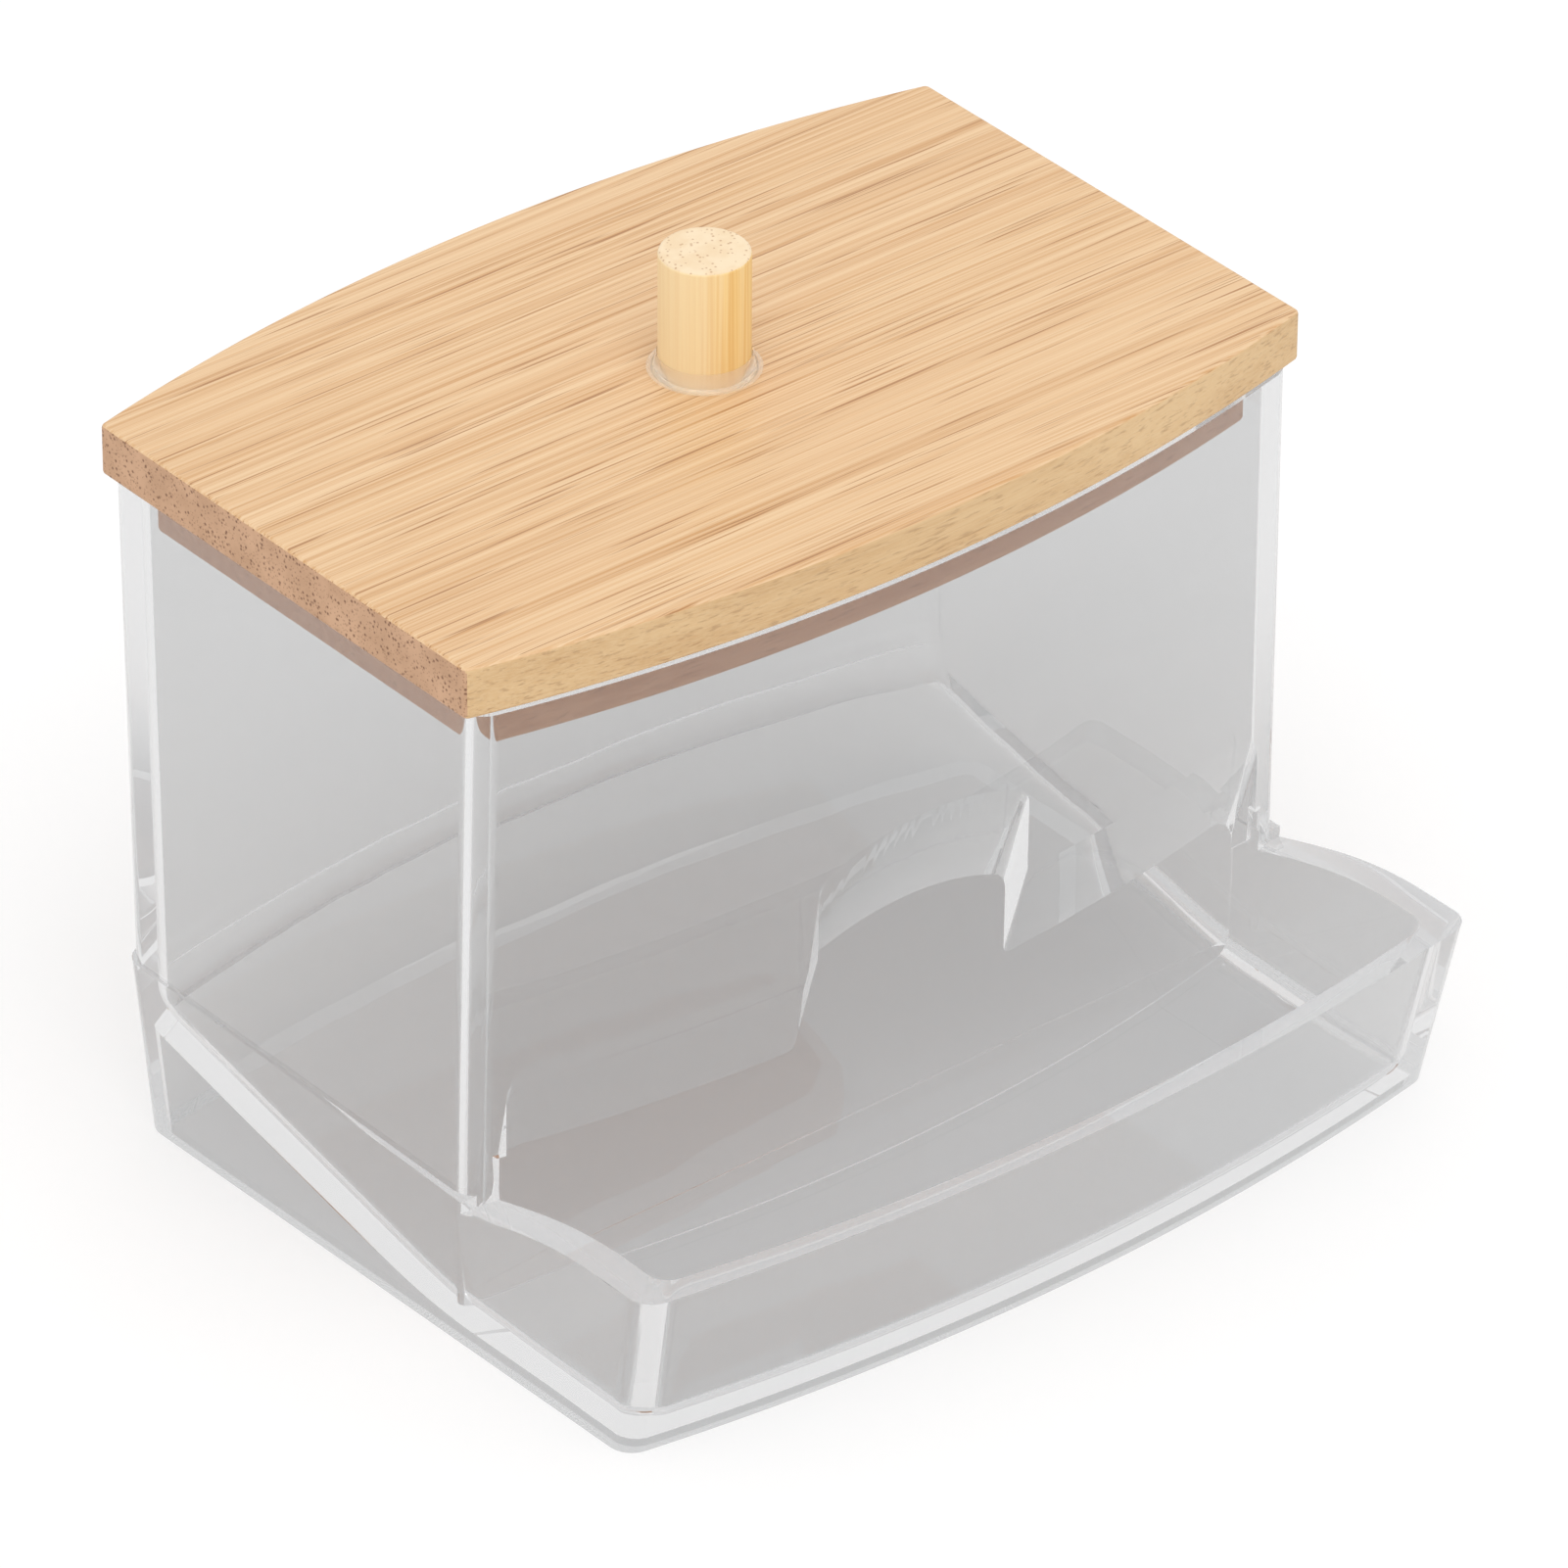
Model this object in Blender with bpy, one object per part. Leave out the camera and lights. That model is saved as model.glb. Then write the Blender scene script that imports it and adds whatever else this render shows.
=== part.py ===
"""Swab dispenser box: a clear moulded hopper with a ramp and an open front tray, and a lift-off bamboo lid.

Units are metres, +Z is up and the tray opens towards -Y. The origin is the bottom centre of the whole box.
Inside the functions, y is counted from the hopper's own centre; each piece is then placed by its location.
"""

import math
from collections import namedtuple

import bmesh
import bpy
from mathutils import Vector

# A plan edge: half its width, the y of its corners and how far its middle bows out beyond them
Edge = namedtuple("Edge", "half_width corner_y bow")

# Lid plate
LID_HALF_WIDTH = 0.0500
LID_CORNER_Y = 0.0273
LID_BOW = 0.0062
LID_THICKNESS = 0.0054
LID_CORNER_RADIUS = 0.0007
LID_EASE = 0.0004
LID_UNDERSIDE_Z = 0.0697

# Locating board under the lid; it takes its outline from the hopper's inside
PLUG_SIDE_GAP = 0.0011
PLUG_FRONT_GAP = 0.0008
PLUG_BOW_EASE = 0.0011
PLUG_THICKNESS = 0.0054
PLUG_CORNER_RADIUS = 0.0008
PLUG_EASE = 0.0003

# Dowel knob and the glue round its foot
KNOB_RADIUS = 0.0044
KNOB_HEIGHT = 0.01265
KNOB_EASE = 0.0003
KNOB_SOCKET_DEPTH = 0.0030
GLUE_HEIGHT = 0.0013
GLUE_WIDTH = 0.0011

# Hopper: the upright walls, which splay and draft a little from the top down to the crease
LID_OVERHANG = 0.0010
HOPPER_BOW_EASE = 0.0001
HOPPER_SIDE_SPLAY = 0.0008
HOPPER_FRONT_DRAFT = 0.0008
HOPPER_BACK_DRAFT = 0.0020
HOPPER_CORNER_RADIUS = 0.0028
HOPPER_WALL = 0.0031
HOPPER_INNER_CORNER_RADIUS = 0.0012

# Lower body: from the base up to the tray's rim, measured from the hopper's outline at the crease
CREASE_Z = 0.0166
TRAY_REACH = 0.0228
BASE_FRONT_TUCK = 0.0003
BASE_FRONT_BOW = 0.0046
BASE_BACK_SPLAY = 0.0014
BASE_BACK_TUCK = 0.0040
BASE_BACK_BOW = 0.0052
RIM_FRONT_SPLAY = 0.0010
RIM_FRONT_LEAN = 0.0041
RIM_FRONT_BOW = 0.0043
RIM_BACK_SPLAY = 0.0001
RIM_BACK_LEAN = 0.0010
RIM_BACK_BOW = 0.0058
BODY_CORNER_RADIUS = 0.0026
RIM_Z = 0.0194
RIM_LOW_Z = 0.0154
RIM_RISE_RUN = 0.0200

# Tray hollow
FLOOR_Z = 0.0027
TRAY_SIDE_WALL = 0.0037
TRAY_FRONT_WALL = 0.0021
TRAY_CORNER_RADIUS = 0.0024
TRAY_FLOOR_FILLET = 0.0020

# Ramp and the open hollow under it
RAMP_FOOT_Y = 0.0230
RAMP_FOOT_Z = 0.0024
RAMP_TOP_Y = 0.0240
RAMP_TOP_Z = 0.0124
RAMP_FOOT_BLEND = 0.0060
RAMP_THICKNESS = 0.0019
FLOOR_THICKNESS = 0.0017
SKIRT_WALL = 0.0023
SKIRT_INNER_CORNER_RADIUS = 0.0013

# Mouth under the front wall and the finger notch, measured on the wall's inner face
MOUTH_TOP_Z = 0.0189
MOUTH_CORNER_RADIUS = 0.0036
MOUTH_LIP_RISE = 0.0106
MOUTH_LOW_Z = 0.0090
UNDER_WALL_Z = 0.0140
NOTCH_HALF_WIDTH = 0.0128
NOTCH_TOP_Z = 0.0305
NOTCH_CROWN = 0.0030
NOTCH_SHOULDER_RADIUS = 0.0024
NOTCH_FOOT_RADIUS = 0.0008

# Fits and cutting
CLEARANCE = 0.0003
OVERRUN = 0.0010
WELD_DISTANCE = 0.000003
MOUTH_INNER_OVERRUN_SHARE = 0.5
MOUTH_OUTER_OVERRUN_SHARE = 1.7

# Smoothness
BOW_SEGMENTS = 16
CORNER_SEGMENTS = 4
FILLET_SEGMENTS = 3
EASE_SEGMENTS = 2
ROUND_STEPS = 40
SHARP_ANGLE = math.radians(30)

# Finishes: linear colour and roughness, with alpha where the finish is clear
PLASTIC = ((0.80, 0.81, 0.81), 0.06, 0.30)
FACE = ((0.66, 0.43, 0.23), 0.50)
BOARD = ((0.46, 0.26, 0.15), 0.55)
DOWEL = ((0.74, 0.52, 0.28), 0.45)
GLUE = ((0.85, 0.78, 0.66), 0.12, 0.45)

# Outlines that follow from the sizes above
HOPPER_TOP = Edge(LID_HALF_WIDTH - LID_OVERHANG, LID_CORNER_Y + HOPPER_BOW_EASE, LID_BOW - HOPPER_BOW_EASE)
HOPPER_CREASE = Edge(HOPPER_TOP.half_width + HOPPER_SIDE_SPLAY, HOPPER_TOP.corner_y - HOPPER_FRONT_DRAFT,
                     HOPPER_TOP.bow)
HOPPER_CREASE_BACK = Edge(HOPPER_CREASE.half_width, HOPPER_TOP.corner_y - HOPPER_BACK_DRAFT, HOPPER_TOP.bow)
BASE_FRONT = Edge(HOPPER_CREASE.half_width - BASE_FRONT_TUCK, HOPPER_CREASE.corner_y + TRAY_REACH,
                  BASE_FRONT_BOW)
BASE_BACK = Edge(HOPPER_CREASE.half_width + BASE_BACK_SPLAY, HOPPER_CREASE_BACK.corner_y - BASE_BACK_TUCK,
                 BASE_BACK_BOW)
RIM_FRONT = Edge(BASE_FRONT.half_width + RIM_FRONT_SPLAY, BASE_FRONT.corner_y + RIM_FRONT_LEAN, RIM_FRONT_BOW)
RIM_BACK = Edge(HOPPER_CREASE.half_width + RIM_BACK_SPLAY, HOPPER_CREASE_BACK.corner_y + RIM_BACK_LEAN,
                RIM_BACK_BOW)
PLUG_PLAN = Edge(HOPPER_TOP.half_width - HOPPER_WALL - PLUG_SIDE_GAP,
                 HOPPER_TOP.corner_y - HOPPER_WALL - PLUG_FRONT_GAP, HOPPER_TOP.bow - PLUG_BOW_EASE)
HOPPER_CENTRE_Y = (RIM_FRONT.corner_y + RIM_FRONT.bow - LID_CORNER_Y - LID_BOW) / 2
BODY_TOP_Z = LID_UNDERSIDE_Z - CLEARANCE
PART_NAME = "swab_box"


def clear_scene():
    for existing in list(bpy.data.objects):
        bpy.data.objects.remove(existing, do_unlink=True)


def new_collection(name):
    collection = bpy.data.collections.new(name)
    bpy.context.scene.collection.children.link(collection)
    return collection


def new_material(name, colour, roughness, alpha=1.0):
    material = bpy.data.materials.new(name)
    material.use_nodes = True
    shader = material.node_tree.nodes["Principled BSDF"]
    shader.inputs["Base Color"].default_value = (*colour, 1.0)
    shader.inputs["Roughness"].default_value = roughness
    shader.inputs["Metallic"].default_value = 0.0
    shader.inputs["Alpha"].default_value = alpha
    return material


def add_object(name, bm, collection, material=None):
    bmesh.ops.recalc_face_normals(bm, faces=bm.faces)
    mesh = bpy.data.meshes.new(name)
    bm.to_mesh(mesh)
    bm.free()
    if material:
        mesh.materials.append(material)
    piece = bpy.data.objects.new(name, mesh)
    piece.location = (0, HOPPER_CENTRE_Y, 0)
    collection.objects.link(piece)
    return piece


def add_cutter(name, bm, collection):
    cutter = add_object(name, bm, collection)
    cutter.hide_render = True
    cutter.display_type = "WIRE"
    return cutter


def add_boolean(piece, other, operation):
    modifier = piece.modifiers.new(f"{operation.lower()}_{other.name}", "BOOLEAN")
    modifier.operation = operation
    modifier.solver = "EXACT"
    modifier.object = other


def inset(edge, amount):
    return Edge(edge.half_width - amount, edge.corner_y - amount, edge.bow)


def mix(low, high, share):
    return Edge(*(a + (b - a) * share for a, b in zip(low, high)))


# Plan outlines


def bow_circle(edge, side):
    """Radius and centre y of the arc through an edge's corners; side is -1 at the front, 1 at the back."""
    radius = (edge.half_width ** 2 + edge.bow ** 2) / (2 * abs(edge.bow))
    reach = side * (edge.corner_y + edge.bow)
    return radius, reach - math.copysign(radius, side * edge.bow)


def bow_y(edge, side, x):
    radius, centre_y = bow_circle(edge, side)
    return centre_y + math.copysign(math.sqrt(radius ** 2 - x ** 2), side * edge.bow)


def arc_points(centre, start, end, segments):
    """Points from start to end, the short way round the centre."""
    first = start - centre
    last = end - centre
    turn = first.angle_signed(last)
    points = []
    for step in range(segments + 1):
        angle = -turn * step / segments
        c, s = math.cos(angle), math.sin(angle)
        points.append(centre + Vector((c * first.x - s * first.y, s * first.x + c * first.y)))
    return points


def corner_arc(edge, side, foot, along, radius):
    """The rounded corner between the bowed edge and the side that runs from foot in direction along."""
    bow_radius, centre_y = bow_circle(edge, side)
    centre = Vector((0, centre_y))
    inward = Vector((-along.y, along.x))
    offset = foot + inward * radius - centre
    half_b = offset.dot(along)
    root = math.sqrt(half_b ** 2 - offset.length_squared + (bow_radius - radius) ** 2)
    distance = -half_b + side * root
    middle = centre + offset + along * distance
    on_bow = centre + (middle - centre).normalized() * bow_radius
    on_side = middle - inward * radius
    if side < 0:
        return arc_points(middle, on_bow, on_side, CORNER_SEGMENTS)
    return arc_points(middle, on_side, on_bow, CORNER_SEGMENTS)


def outline(front, back, front_radius, back_radius=0.0):
    """A closed plan outline, anticlockwise, symmetric about x = 0; no radius leaves that corner sharp."""
    foot = Vector((front.half_width, -front.corner_y))
    head = Vector((back.half_width, back.corner_y))
    along = (head - foot).normalized()
    if front_radius:
        front_corner = corner_arc(front, -1, foot, along, front_radius)
    else:
        front_corner = [foot]
    if back_radius:
        back_corner = corner_arc(back, 1, foot, along, back_radius)
    else:
        back_corner = [head]
    right = []
    for step in range(BOW_SEGMENTS):
        x = front_corner[0].x * step / BOW_SEGMENTS
        right.append(Vector((x, bow_y(front, -1, x))))
    right += front_corner + back_corner
    for step in reversed(range(BOW_SEGMENTS)):
        x = back_corner[-1].x * step / BOW_SEGMENTS
        right.append(Vector((x, bow_y(back, 1, x))))
    left = [Vector((-point.x, point.y)) for point in reversed(right[1:-1])]
    return right + left


# Solids


def loft(sections):
    """A closed solid through plan outlines, each given with its height, from the lowest up."""
    bm = bmesh.new()
    rings = [[bm.verts.new((point.x, point.y, z)) for point in points] for points, z in sections]
    for low, high in zip(rings, rings[1:]):
        count = len(low)
        for i in range(count):
            bm.faces.new((low[i], low[(i + 1) % count], high[(i + 1) % count], high[i]))
    bm.faces.new(reversed(rings[0]))
    bm.faces.new(rings[-1])
    return bm


def side_prism(points, half_width):
    """A prism across X from a side profile of (y, z) points."""
    bm = bmesh.new()
    face = bm.faces.new([bm.verts.new((-half_width, y, z)) for y, z in points])
    extruded = bmesh.ops.extrude_face_region(bm, geom=[face])
    moved = [item for item in extruded["geom"] if isinstance(item, bmesh.types.BMVert)]
    bmesh.ops.translate(bm, vec=(2 * half_width, 0, 0), verts=moved)
    return bm


def ease_level_edges(bm, z, width):
    """Round the outer edges that lie level at one height."""
    edges = [edge for edge in bm.edges if all(abs(vert.co.z - z) < WELD_DISTANCE for vert in edge.verts)]
    bmesh.ops.bevel(bm, geom=edges, offset=width, offset_type="OFFSET", segments=EASE_SEGMENTS, affect="EDGES",
                    clamp_overlap=True)


def turned(profile, steps):
    """A solid of revolution about Z from a closed (r, z) profile, listed downwards on its outer side."""
    bm = bmesh.new()
    verts = [bm.verts.new((r, 0, z)) for r, z in profile]
    edges = [bm.edges.new((verts[i], verts[(i + 1) % len(verts)])) for i in range(len(verts))]
    bmesh.ops.spin(bm, geom=verts + edges, cent=(0, 0, 0), axis=(0, 0, 1), angle=math.tau, steps=steps,
                   use_merge=True)
    bmesh.ops.remove_doubles(bm, verts=bm.verts, dist=WELD_DISTANCE)
    return bm


# Side profiles


def ramp_slope():
    return (RAMP_TOP_Z - RAMP_FOOT_Z) / (RAMP_TOP_Y + RAMP_FOOT_Y)


def ramp_profile(drop, foot_z, reach):
    """The ramp's line from front to back, drop below its top face, blended into the level part at foot_z."""
    slope = ramp_slope()
    meet_y = -RAMP_FOOT_Y + (foot_z - RAMP_FOOT_Z + drop) / slope
    points = [(-reach, foot_z)]
    steps = 2 * FILLET_SEGMENTS
    for step in range(steps + 1):
        share = step / steps
        y = meet_y + RAMP_FOOT_BLEND * (2 * share - 1)
        points.append((y, foot_z + slope * RAMP_FOOT_BLEND * share ** 2))
    points.append((reach, foot_z + slope * (reach - meet_y)))
    return points


def rim_profile():
    """Height of the tray's side rims from the hopper out to the front, then level round the front."""
    start = HOPPER_CREASE.corner_y
    points = []
    steps = 2 * CORNER_SEGMENTS
    for step in range(steps + 1):
        share = step / steps
        z = RIM_LOW_Z + (RIM_Z - RIM_LOW_Z) * math.sin(share * math.pi / 2)
        points.append((-start - RIM_RISE_RUN * share, z))
    return points


# Body


def lower_solid():
    front, back = BASE_FRONT, BASE_BACK
    top_z = RIM_Z + OVERRUN
    rim_share = top_z / RIM_Z
    return loft([
        (outline(front, back, BODY_CORNER_RADIUS, BODY_CORNER_RADIUS), 0),
        (outline(mix(front, RIM_FRONT, rim_share), mix(back, RIM_BACK, rim_share), BODY_CORNER_RADIUS,
                 BODY_CORNER_RADIUS), top_z),
    ])


def rim_trim():
    """Everything above the crease and the tray's rim."""
    reach = RIM_FRONT.corner_y + RIM_FRONT.bow + OVERRUN
    high = RIM_Z + 2 * OVERRUN
    points = rim_profile()
    points = [(reach, CREASE_Z), (-HOPPER_CREASE.corner_y, CREASE_Z)] + points
    points += [(-reach, RIM_Z), (-reach, high), (reach, high)]
    return side_prism(points, BASE_BACK.half_width + OVERRUN)


def hopper_share(z):
    return (z - CREASE_Z) / (BODY_TOP_Z - CREASE_Z)


def hopper_outline(z, amount, radius):
    share = hopper_share(z)
    front = inset(mix(HOPPER_CREASE, HOPPER_TOP, share), amount)
    back = inset(mix(HOPPER_CREASE_BACK, HOPPER_TOP, share), amount)
    return outline(front, back, radius, radius)


def hopper_solid():
    low = UNDER_WALL_Z
    return loft([
        (hopper_outline(low, 0, HOPPER_CORNER_RADIUS), low),
        (hopper_outline(BODY_TOP_Z, 0, HOPPER_CORNER_RADIUS), BODY_TOP_Z),
    ])


def hopper_hollow():
    high = BODY_TOP_Z + OVERRUN
    return loft([
        (hopper_outline(0, HOPPER_WALL, HOPPER_INNER_CORNER_RADIUS), 0),
        (hopper_outline(high, HOPPER_WALL, HOPPER_INNER_CORNER_RADIUS), high),
    ])


def above_ramp():
    reach = RIM_FRONT.corner_y
    high = BODY_TOP_Z + 2 * OVERRUN
    points = ramp_profile(0, RAMP_FOOT_Z, reach) + [(reach, high), (-reach, high)]
    return side_prism(points, LID_HALF_WIDTH)


def inner_front(z):
    """The front wall's inner face at one height."""
    return inset(mix(HOPPER_CREASE, HOPPER_TOP, hopper_share(z)), HOPPER_WALL)


def tray_front(z):
    """The inside of the tray's front and side walls at one height."""
    outer = mix(BASE_FRONT, RIM_FRONT, z / RIM_Z)
    return Edge(outer.half_width - TRAY_SIDE_WALL, outer.corner_y - TRAY_FRONT_WALL, outer.bow)


def tray_section(z, back_inset, fillet_inset=0.0):
    front = inset(tray_front(z), fillet_inset)
    wall = inner_front(z)
    back = Edge(front.half_width, -(wall.corner_y + back_inset), -wall.bow)
    return outline(front, back, TRAY_CORNER_RADIUS - fillet_inset), z


def tray_hollow():
    """The tray's inside; its back edge runs under the front wall and stops short of the wall's own lip."""
    top_z = RIM_Z + OVERRUN
    overlap = -OVERRUN / 2
    behind_face = HOPPER_WALL - OVERRUN
    sections = []
    for step in range(FILLET_SEGMENTS + 1):
        angle = math.pi / 2 * step / FILLET_SEGMENTS
        z = FLOOR_Z + TRAY_FLOOR_FILLET * (1 - math.cos(angle))
        sections.append(tray_section(z, overlap, TRAY_FLOOR_FILLET * (1 - math.sin(angle))))
    sections.append(tray_section(UNDER_WALL_Z, overlap))
    sections.append(tray_section((UNDER_WALL_Z + MOUTH_TOP_Z) / 2, behind_face))
    sections.append(tray_section(top_z, behind_face))
    return loft(sections)


def mouth_outline():
    """The opening on the wall's inner face as (x, z) points: the mouth with the arched notch above it."""
    half = tray_front(FLOOR_Z).half_width
    right = [Vector((half, MOUTH_LOW_Z))]
    centre = Vector((half - MOUTH_CORNER_RADIUS, MOUTH_TOP_Z - MOUTH_CORNER_RADIUS))
    right += arc_points(centre, centre + Vector((MOUTH_CORNER_RADIUS, 0)),
                        centre + Vector((0, MOUTH_CORNER_RADIUS)), CORNER_SEGMENTS)
    steps = BOW_SEGMENTS // 2
    notch_foot = NOTCH_HALF_WIDTH + NOTCH_FOOT_RADIUS
    for step in range(1, steps):
        right.append(Vector((centre.x + (notch_foot - centre.x) * step / steps, MOUTH_TOP_Z)))
    foot = Vector((notch_foot, MOUTH_TOP_Z + NOTCH_FOOT_RADIUS))
    right += arc_points(foot, foot - Vector((0, NOTCH_FOOT_RADIUS)), foot - Vector((NOTCH_FOOT_RADIUS, 0)),
                        FILLET_SEGMENTS)
    crown = (NOTCH_HALF_WIDTH ** 2 + NOTCH_CROWN ** 2) / (2 * NOTCH_CROWN)
    crown_z = NOTCH_TOP_Z - crown
    radius = NOTCH_SHOULDER_RADIUS
    shoulder_x = NOTCH_HALF_WIDTH - radius
    shoulder = Vector((shoulder_x, crown_z + math.sqrt((crown - radius) ** 2 - shoulder_x ** 2)))
    middle = Vector((0, crown_z))
    on_crown = middle + (shoulder - middle).normalized() * crown
    right += arc_points(shoulder, shoulder + Vector((radius, 0)), on_crown, CORNER_SEGMENTS)
    right += arc_points(middle, on_crown, middle + Vector((0, crown)), CORNER_SEGMENTS)[1:]
    left = [Vector((-point.x, point.y)) for point in reversed(right[:-1])]
    return right + left


def mouth_cutter():
    """The opening swept through the bowed front wall, rising outwards so that its edge is a slanted lip.

    It starts as a flat prism whose y counts wall thicknesses, which is then bent along the wall.
    """
    wall = inner_front(MOUTH_TOP_Z)
    bm = bmesh.new()
    corners = [bm.verts.new((point.x, -MOUTH_INNER_OVERRUN_SHARE, point.y)) for point in mouth_outline()]
    face = bm.faces.new(corners)
    extruded = bmesh.ops.extrude_face_region(bm, geom=[face])
    moved = [item for item in extruded["geom"] if isinstance(item, bmesh.types.BMVert)]
    bmesh.ops.translate(bm, vec=(0, MOUTH_INNER_OVERRUN_SHARE + MOUTH_OUTER_OVERRUN_SHARE, 0), verts=moved)
    for step in range(1, 2 * BOW_SEGMENTS):
        x = tray_front(FLOOR_Z).half_width * (step / BOW_SEGMENTS - 1)
        bmesh.ops.bisect_plane(bm, geom=[*bm.verts, *bm.edges, *bm.faces], dist=WELD_DISTANCE,
                               plane_co=(x, 0, 0), plane_no=(1, 0, 0))
    for vert in bm.verts:
        x, share, z = vert.co
        vert.co = (x, bow_y(wall, -1, x) - HOPPER_WALL * share, z + MOUTH_LIP_RISE * share)
    return bm


def under_hollow():
    """The hollow under the ramp and the tray's floor, open at the bottom."""
    high = RAMP_TOP_Z
    share = high / RIM_Z
    low_share = -OVERRUN / RIM_Z
    radius = SKIRT_INNER_CORNER_RADIUS
    sections = []
    for z, part in ((-OVERRUN, low_share), (high, share)):
        front = inset(mix(BASE_FRONT, RIM_FRONT, part), SKIRT_WALL)
        back = inset(mix(BASE_BACK, RIM_BACK, part), SKIRT_WALL)
        sections.append((outline(front, back, radius, radius), z))
    return loft(sections)


def below_ramp():
    reach = RIM_FRONT.corner_y + RIM_FRONT.bow
    points = ramp_profile(RAMP_THICKNESS, FLOOR_Z - FLOOR_THICKNESS, reach)
    points += [(reach, -2 * OVERRUN), (-reach, -2 * OVERRUN)]
    return side_prism(points, BASE_BACK.half_width)


def build_body(collection, cutters, material):
    body = add_object("clear_body", lower_solid(), collection, material)
    trim = add_cutter("rim_trim", rim_trim(), cutters)
    hopper = add_cutter("hopper_solid", hopper_solid(), cutters)
    hollow = add_cutter("hopper_hollow", hopper_hollow(), cutters)
    add_boolean(hollow, add_cutter("above_ramp", above_ramp(), cutters), "INTERSECT")
    tray = add_cutter("tray_hollow", tray_hollow(), cutters)
    mouth = add_cutter("mouth", mouth_cutter(), cutters)
    under = add_cutter("under_hollow", under_hollow(), cutters)
    add_boolean(under, add_cutter("below_ramp", below_ramp(), cutters), "INTERSECT")
    add_boolean(body, trim, "DIFFERENCE")
    add_boolean(body, hopper, "UNION")
    add_boolean(body, hollow, "DIFFERENCE")
    add_boolean(body, tray, "DIFFERENCE")
    add_boolean(body, mouth, "DIFFERENCE")
    add_boolean(body, under, "DIFFERENCE")
    return body


# Lid


def build_plate(collection, cutters, material):
    plan = Edge(LID_HALF_WIDTH, LID_CORNER_Y, LID_BOW)
    top_z = LID_UNDERSIDE_Z + LID_THICKNESS
    points = outline(plan, plan, LID_CORNER_RADIUS, LID_CORNER_RADIUS)
    bm = loft([(points, LID_UNDERSIDE_Z), (points, top_z)])
    ease_level_edges(bm, top_z, LID_EASE)
    ease_level_edges(bm, LID_UNDERSIDE_Z, LID_EASE)
    plate = add_object("lid_plate", bm, collection, material)
    socket = bmesh.new()
    depth = KNOB_SOCKET_DEPTH + CLEARANCE + OVERRUN
    bmesh.ops.create_cone(socket, cap_ends=True, segments=ROUND_STEPS, radius1=KNOB_RADIUS + CLEARANCE,
                          radius2=KNOB_RADIUS + CLEARANCE, depth=depth)
    bmesh.ops.translate(socket, vec=(0, 0, top_z + OVERRUN - depth / 2), verts=socket.verts)
    add_boolean(plate, add_cutter("knob_socket", socket, cutters), "DIFFERENCE")
    return plate


def build_plug(collection, material):
    top_z = LID_UNDERSIDE_Z - CLEARANCE
    low_z = top_z - PLUG_THICKNESS
    points = outline(PLUG_PLAN, PLUG_PLAN, PLUG_CORNER_RADIUS, PLUG_CORNER_RADIUS)
    bm = loft([(points, low_z), (points, top_z)])
    ease_level_edges(bm, low_z, PLUG_EASE)
    return add_object("lid_plug", bm, collection, material)


def build_knob(collection, material):
    low_z = LID_UNDERSIDE_Z + LID_THICKNESS - KNOB_SOCKET_DEPTH
    high_z = LID_UNDERSIDE_Z + LID_THICKNESS + KNOB_HEIGHT
    bm = bmesh.new()
    bmesh.ops.create_cone(bm, cap_ends=True, segments=ROUND_STEPS, radius1=KNOB_RADIUS, radius2=KNOB_RADIUS,
                          depth=high_z - low_z)
    bmesh.ops.translate(bm, vec=(0, 0, (high_z + low_z) / 2), verts=bm.verts)
    ease_level_edges(bm, high_z, KNOB_EASE)
    return add_object("lid_knob", bm, collection, material)


def build_glue(collection, material):
    """A low ring with a hollowed outer side, like a bead of clear glue drawn up against the dowel."""
    low_z = LID_UNDERSIDE_Z + LID_THICKNESS + CLEARANCE
    inner = KNOB_RADIUS + CLEARANCE
    profile = [(inner, low_z + GLUE_HEIGHT)]
    for step in range(FILLET_SEGMENTS + 1):
        angle = math.pi / 2 * step / FILLET_SEGMENTS
        width = GLUE_WIDTH * (1 - math.cos(angle)) + CLEARANCE
        profile.append((inner + width, low_z + GLUE_HEIGHT * (1 - math.sin(angle)) + CLEARANCE / 2))
    profile += [(profile[-1][0], low_z), (inner, low_z)]
    return add_object("knob_glue_bead", turned(profile, ROUND_STEPS), collection, material)


def shade(piece):
    piece.data.shade_smooth()
    piece.data.set_sharp_from_angle(angle=SHARP_ANGLE)


def build():
    clear_scene()
    parts = new_collection(PART_NAME)
    cutters = new_collection(f"{PART_NAME}_cutters")
    clear_plastic = new_material("clear_plastic", *PLASTIC)
    bamboo_face = new_material("bamboo_face", *FACE)
    bamboo_board = new_material("bamboo_board", *BOARD)
    bamboo_dowel = new_material("bamboo_dowel", *DOWEL)
    clear_glue = new_material("clear_glue", *GLUE)
    pieces = [
        build_body(parts, cutters, clear_plastic),
        build_plate(parts, cutters, bamboo_face),
        build_plug(parts, bamboo_board),
        build_knob(parts, bamboo_dowel),
        build_glue(parts, clear_glue),
    ]
    for piece in pieces:
        shade(piece)


build()
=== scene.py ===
"""Looks of the clear swab dispenser box with its bamboo lid: fine surfaces, materials, studio and camera."""

import math
from collections import namedtuple

import bmesh
import bpy
from mathutils import Euler, Matrix, Vector


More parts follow.
